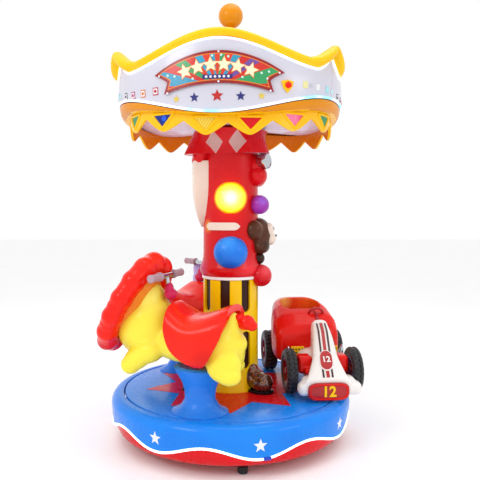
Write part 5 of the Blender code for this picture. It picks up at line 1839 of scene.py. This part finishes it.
tyre_rubber = tread_rubber()
hub_red = gelcoat("gelcoat_hub_dark_red", "#8c141c", "#761018")
hubs, axle_caps = [], []
for wheel_name, ahead, inner, wide in WHEELS:
    half = wide / 2
    crown = [(TYRE_RADIUS, half - 0.013 - (wide - 0.026) * k / 8) for k in range(9)]
    tyre = spun("tyre", [
        (HUB_RADIUS, half - 0.006), (0.07, half - 0.001), (0.084, half), (0.097, half - 0.002),
        (0.1035, half - 0.007), *crown, (0.1035, 0.007 - half), (0.097, 0.002 - half), (0.084, -half),
        (0.07, 0.001 - half), (HUB_RADIUS, 0.006 - half),
    ], TREAD_BLOCKS * 8, ring=True)
    for vertex in tyre.data.vertices:
        reach = math.hypot(vertex.co.x, vertex.co.y)
        if reach > 0.1:
            turn = math.atan2(vertex.co.y, vertex.co.x) * TREAD_BLOCKS
            groove = math.sin(turn + 2.4 * abs(vertex.co.z) / half) > 0.45 or abs(vertex.co.z) < 0.004
            depth = TREAD_DEPTH if groove else 0.0
            vertex.co.x *= (reach - depth) / reach
            vertex.co.y *= (reach - depth) / reach
    at = Matrix.Translation((ahead, inner + half, AXLE_HEIGHT)) @ Matrix.Rotation(math.pi / 2, 4, "X")
    tyre.data.transform(at)
    finished(placed(tyre, car_place), f"car_tyre_{wheel_name}", tyre_rubber, angle=30,
             replaces=[f"car_wheel_{wheel_name}"])
    hub = spun("hub", [
        (0.013, half - 0.004), (0.017, half - 0.007), (0.02, half - 0.018), (0.034, half - 0.022),
        (0.05, half - 0.014), (0.057, half - 0.005), (HUB_RADIUS + 0.001, half - 0.005),
        (HUB_RADIUS + 0.001, 0.005 - half), (0.057, 0.005 - half), (0.05, 0.014 - half),
        (0.034, 0.022 - half), (0.02, 0.018 - half), (0.017, 0.007 - half), (0.013, 0.004 - half),
    ], 48)
    hub.data.transform(at)
    hubs.append(hub)
    reach_in = 0.09 * math.copysign(1, inner)
    axle_caps.append(tube_along([
        Vector((ahead, reach_in + (inner + half - reach_in) * k / 4, AXLE_HEIGHT)) for k in range(5)
    ], 0.0115, 16))
finished(placed(joined(hubs), car_place), "car_wheel_hubs", hub_red, angle=35)
finished(placed(joined(axle_caps), car_place), "car_axle_stubs", polished_chrome)

blocks, vents, dots = [], [], []
for side in (-1, 1):
    blocks += [
        rounded_block("block", (0.085, 0.07, 0.085), (0.205, side * 0.09, 0.325), 0.016),
        rounded_block("arm", (0.035, 0.05, 0.03), (0.26, side * 0.075, 0.3), 0.01),
    ]
    vents.append(rounded_block("vent", (0.012, 0.07, 0.048), (0.052, side * 0.088, 0.35), 0.004))
    for k in range(8):
        dots.append(ellipsoid((0.003, 0.0042, 0.0042),
                              (0.0585, side * 0.088 - 0.024 + 0.016 * (k % 4), 0.342 + 0.017 * (k // 4)),
                              across=16, around=8))
suspension = fused("suspension", blocks, 0.0045, 3)
finished(placed(suspension, car_place), "car_suspension_blocks", car_red)
finished(placed(joined(vents), car_place), "car_vent_panels", crest_gelcoat)
finished(placed(joined(dots), car_place), "car_vent_holes", dark_grille)
loops = [tube_along([
    Vector((0.05 + 0.05 * k / 12, side * (0.125 + 0.018 * math.sin(math.pi * k / 12)),
            0.335 + 0.045 * math.sin(math.pi * k / 12))) for k in range(13)
], 0.0045, 12) for side in (-1, 1)]
finished(placed(joined(loops), car_place), "car_chrome_loops", polished_chrome)

# Steering wheel
# A dark red moulded rim on three spokes, on a short column that rises from the cockpit's
# front edge.
WHEEL_RADIUS = 0.038
deselect()
bpy.ops.mesh.primitive_torus_add(major_radius=WHEEL_RADIUS, minor_radius=0.007, major_segments=56,
                                 minor_segments=14)
wheel_parts = [bpy.context.object]
for k in range(3):
    turn = math.tau * k / 3 + math.pi / 2
    wheel_parts.append(tube_along([
        Vector((WHEEL_RADIUS * math.cos(turn) * j / 4, WHEEL_RADIUS * math.sin(turn) * j / 4,
                -0.004 * (1 - j / 4))) for j in range(5)
    ], 0.0045, 10))
wheel_parts.append(spun("boss", [
    (0.006, 0.005), (0.011, 0.003), (0.012, -0.004), (0.0105, -0.012), (0.0105, -0.07),
], 28))
steering = joined(wheel_parts)
steering.data.transform(
    Matrix.Translation((-0.035, 0.03, 0.527)) @ Matrix.Rotation(math.radians(-56), 4, "Y"))
finished(placed(steering, car_place), "car_steering_wheel_rim", vinyl_red, angle=50,
         replaces=["car_steering_wheel"])

# Elephant
# The third seat figure, a lavender elephant whose trunk hangs, stands behind the column on the
# same foot as the lion, with the same saddle and handle.
# Its lighter cloud is a painted highlight on top of the head.
elephant_gelcoat = gelcoat("gelcoat_lavender", "#c3b0e2", "#b39dd8", painted_light_clouds=(
    (elephant_place @ Vector((0.3, 0.1, 0.78)), 0.1, "#d6c8ee", 1.0),
))
pink_gelcoat = gelcoat("gelcoat_ear_pink", "#f0a6c4", "#e890b4")
torso = [
    ellipsoid((0.22, 0.122, 0.1), (-0.02, 0, 0.488)),
    ellipsoid((0.108, 0.118, 0.14), (-0.14, 0, 0.482), (0, 12, 0)),
    ellipsoid((0.1, 0.106, 0.12), (0.19, 0, 0.54), (0, -10, 0)),
    ellipsoid((0.09, 0.09, 0.1), (0.25, 0, 0.62)),
    ellipsoid((0.018, 0.014, 0.045), (-0.262, 0, 0.53), (0, 25, 0)),
    ellipsoid((0.02, 0.018, 0.026), (-0.285, 0, 0.48)),
]
head = [
    ellipsoid((0.112, 0.112, 0.124), (0.27, 0, 0.69)),
    ellipsoid((0.07, 0.075, 0.065), (0.325, 0, 0.65)),
]
for k in range(15):
    share = k / 14
    at = (0.345 + 0.085 * math.sin(1.7 * share), 0, 0.64 - 0.14 * share + 0.06 * share ** 3)
    head.append(ellipsoid([0.043 - 0.019 * share] * 3, at, across=20, around=12))
ears, linings, toes, features = [], [], [], []
for side in (-1, 1):
    for ahead, lean in ((0.17, 18), (-0.17, -12)):
        torso.append(ellipsoid((0.06, 0.052, 0.09), (ahead, side * 0.08, 0.425), (0, lean, 0)))
        foot = ahead + (0.03 if ahead > 0 else -0.02)
        torso.append(ellipsoid((0.056, 0.05, 0.035), (foot, side * 0.082, 0.37)))
        for k in (-1, 0, 1):
            at = (foot + 0.05 - 0.006 * abs(k), side * 0.082 + 0.023 * k, 0.356)
            toes.append(ellipsoid((0.012, 0.012, 0.014), at, across=16, around=10))
    ears += [ellipsoid((0.03, 0.056, 0.078), (0.205, side * 0.112, 0.705), (0, -8, side * -24)),
             ellipsoid((0.026, 0.046, 0.05), (0.2, side * 0.12, 0.655), (0, -8, side * -24))]
    linings.append(ellipsoid((0.012, 0.04, 0.057), (0.229, side * 0.122, 0.7), (0, -8, side * -24)))
    features.append(ellipsoid((0.009, 0.013, 0.019), (0.362, side * 0.052, 0.728), (0, -14, side * 26)))
for name, forms, node in (("body", torso, "body"), ("head", head, "head"), ("ears", ears, None)):
    shell = fused(f"elephant_{name}", forms, 0.0055, 7)
    finished(placed(shell, elephant_place), f"elephant_{name}_shell", elephant_gelcoat, angle=60,
             replaces=[f"elephant_{node}"] if node else ())
for name, parts, finish in (("ear_linings", linings, pink_gelcoat), ("toenails", toes, white_gelcoat),
                            ("eyes", features, black_gelcoat)):
    finished(placed(joined(parts), elephant_place), f"elephant_{name}", finish)
saddle("elephant_saddle_pad", elephant_place, saddle_gelcoat, "elephant_saddle")
handle("elephant", elephant_place, 0.15, 0.775)
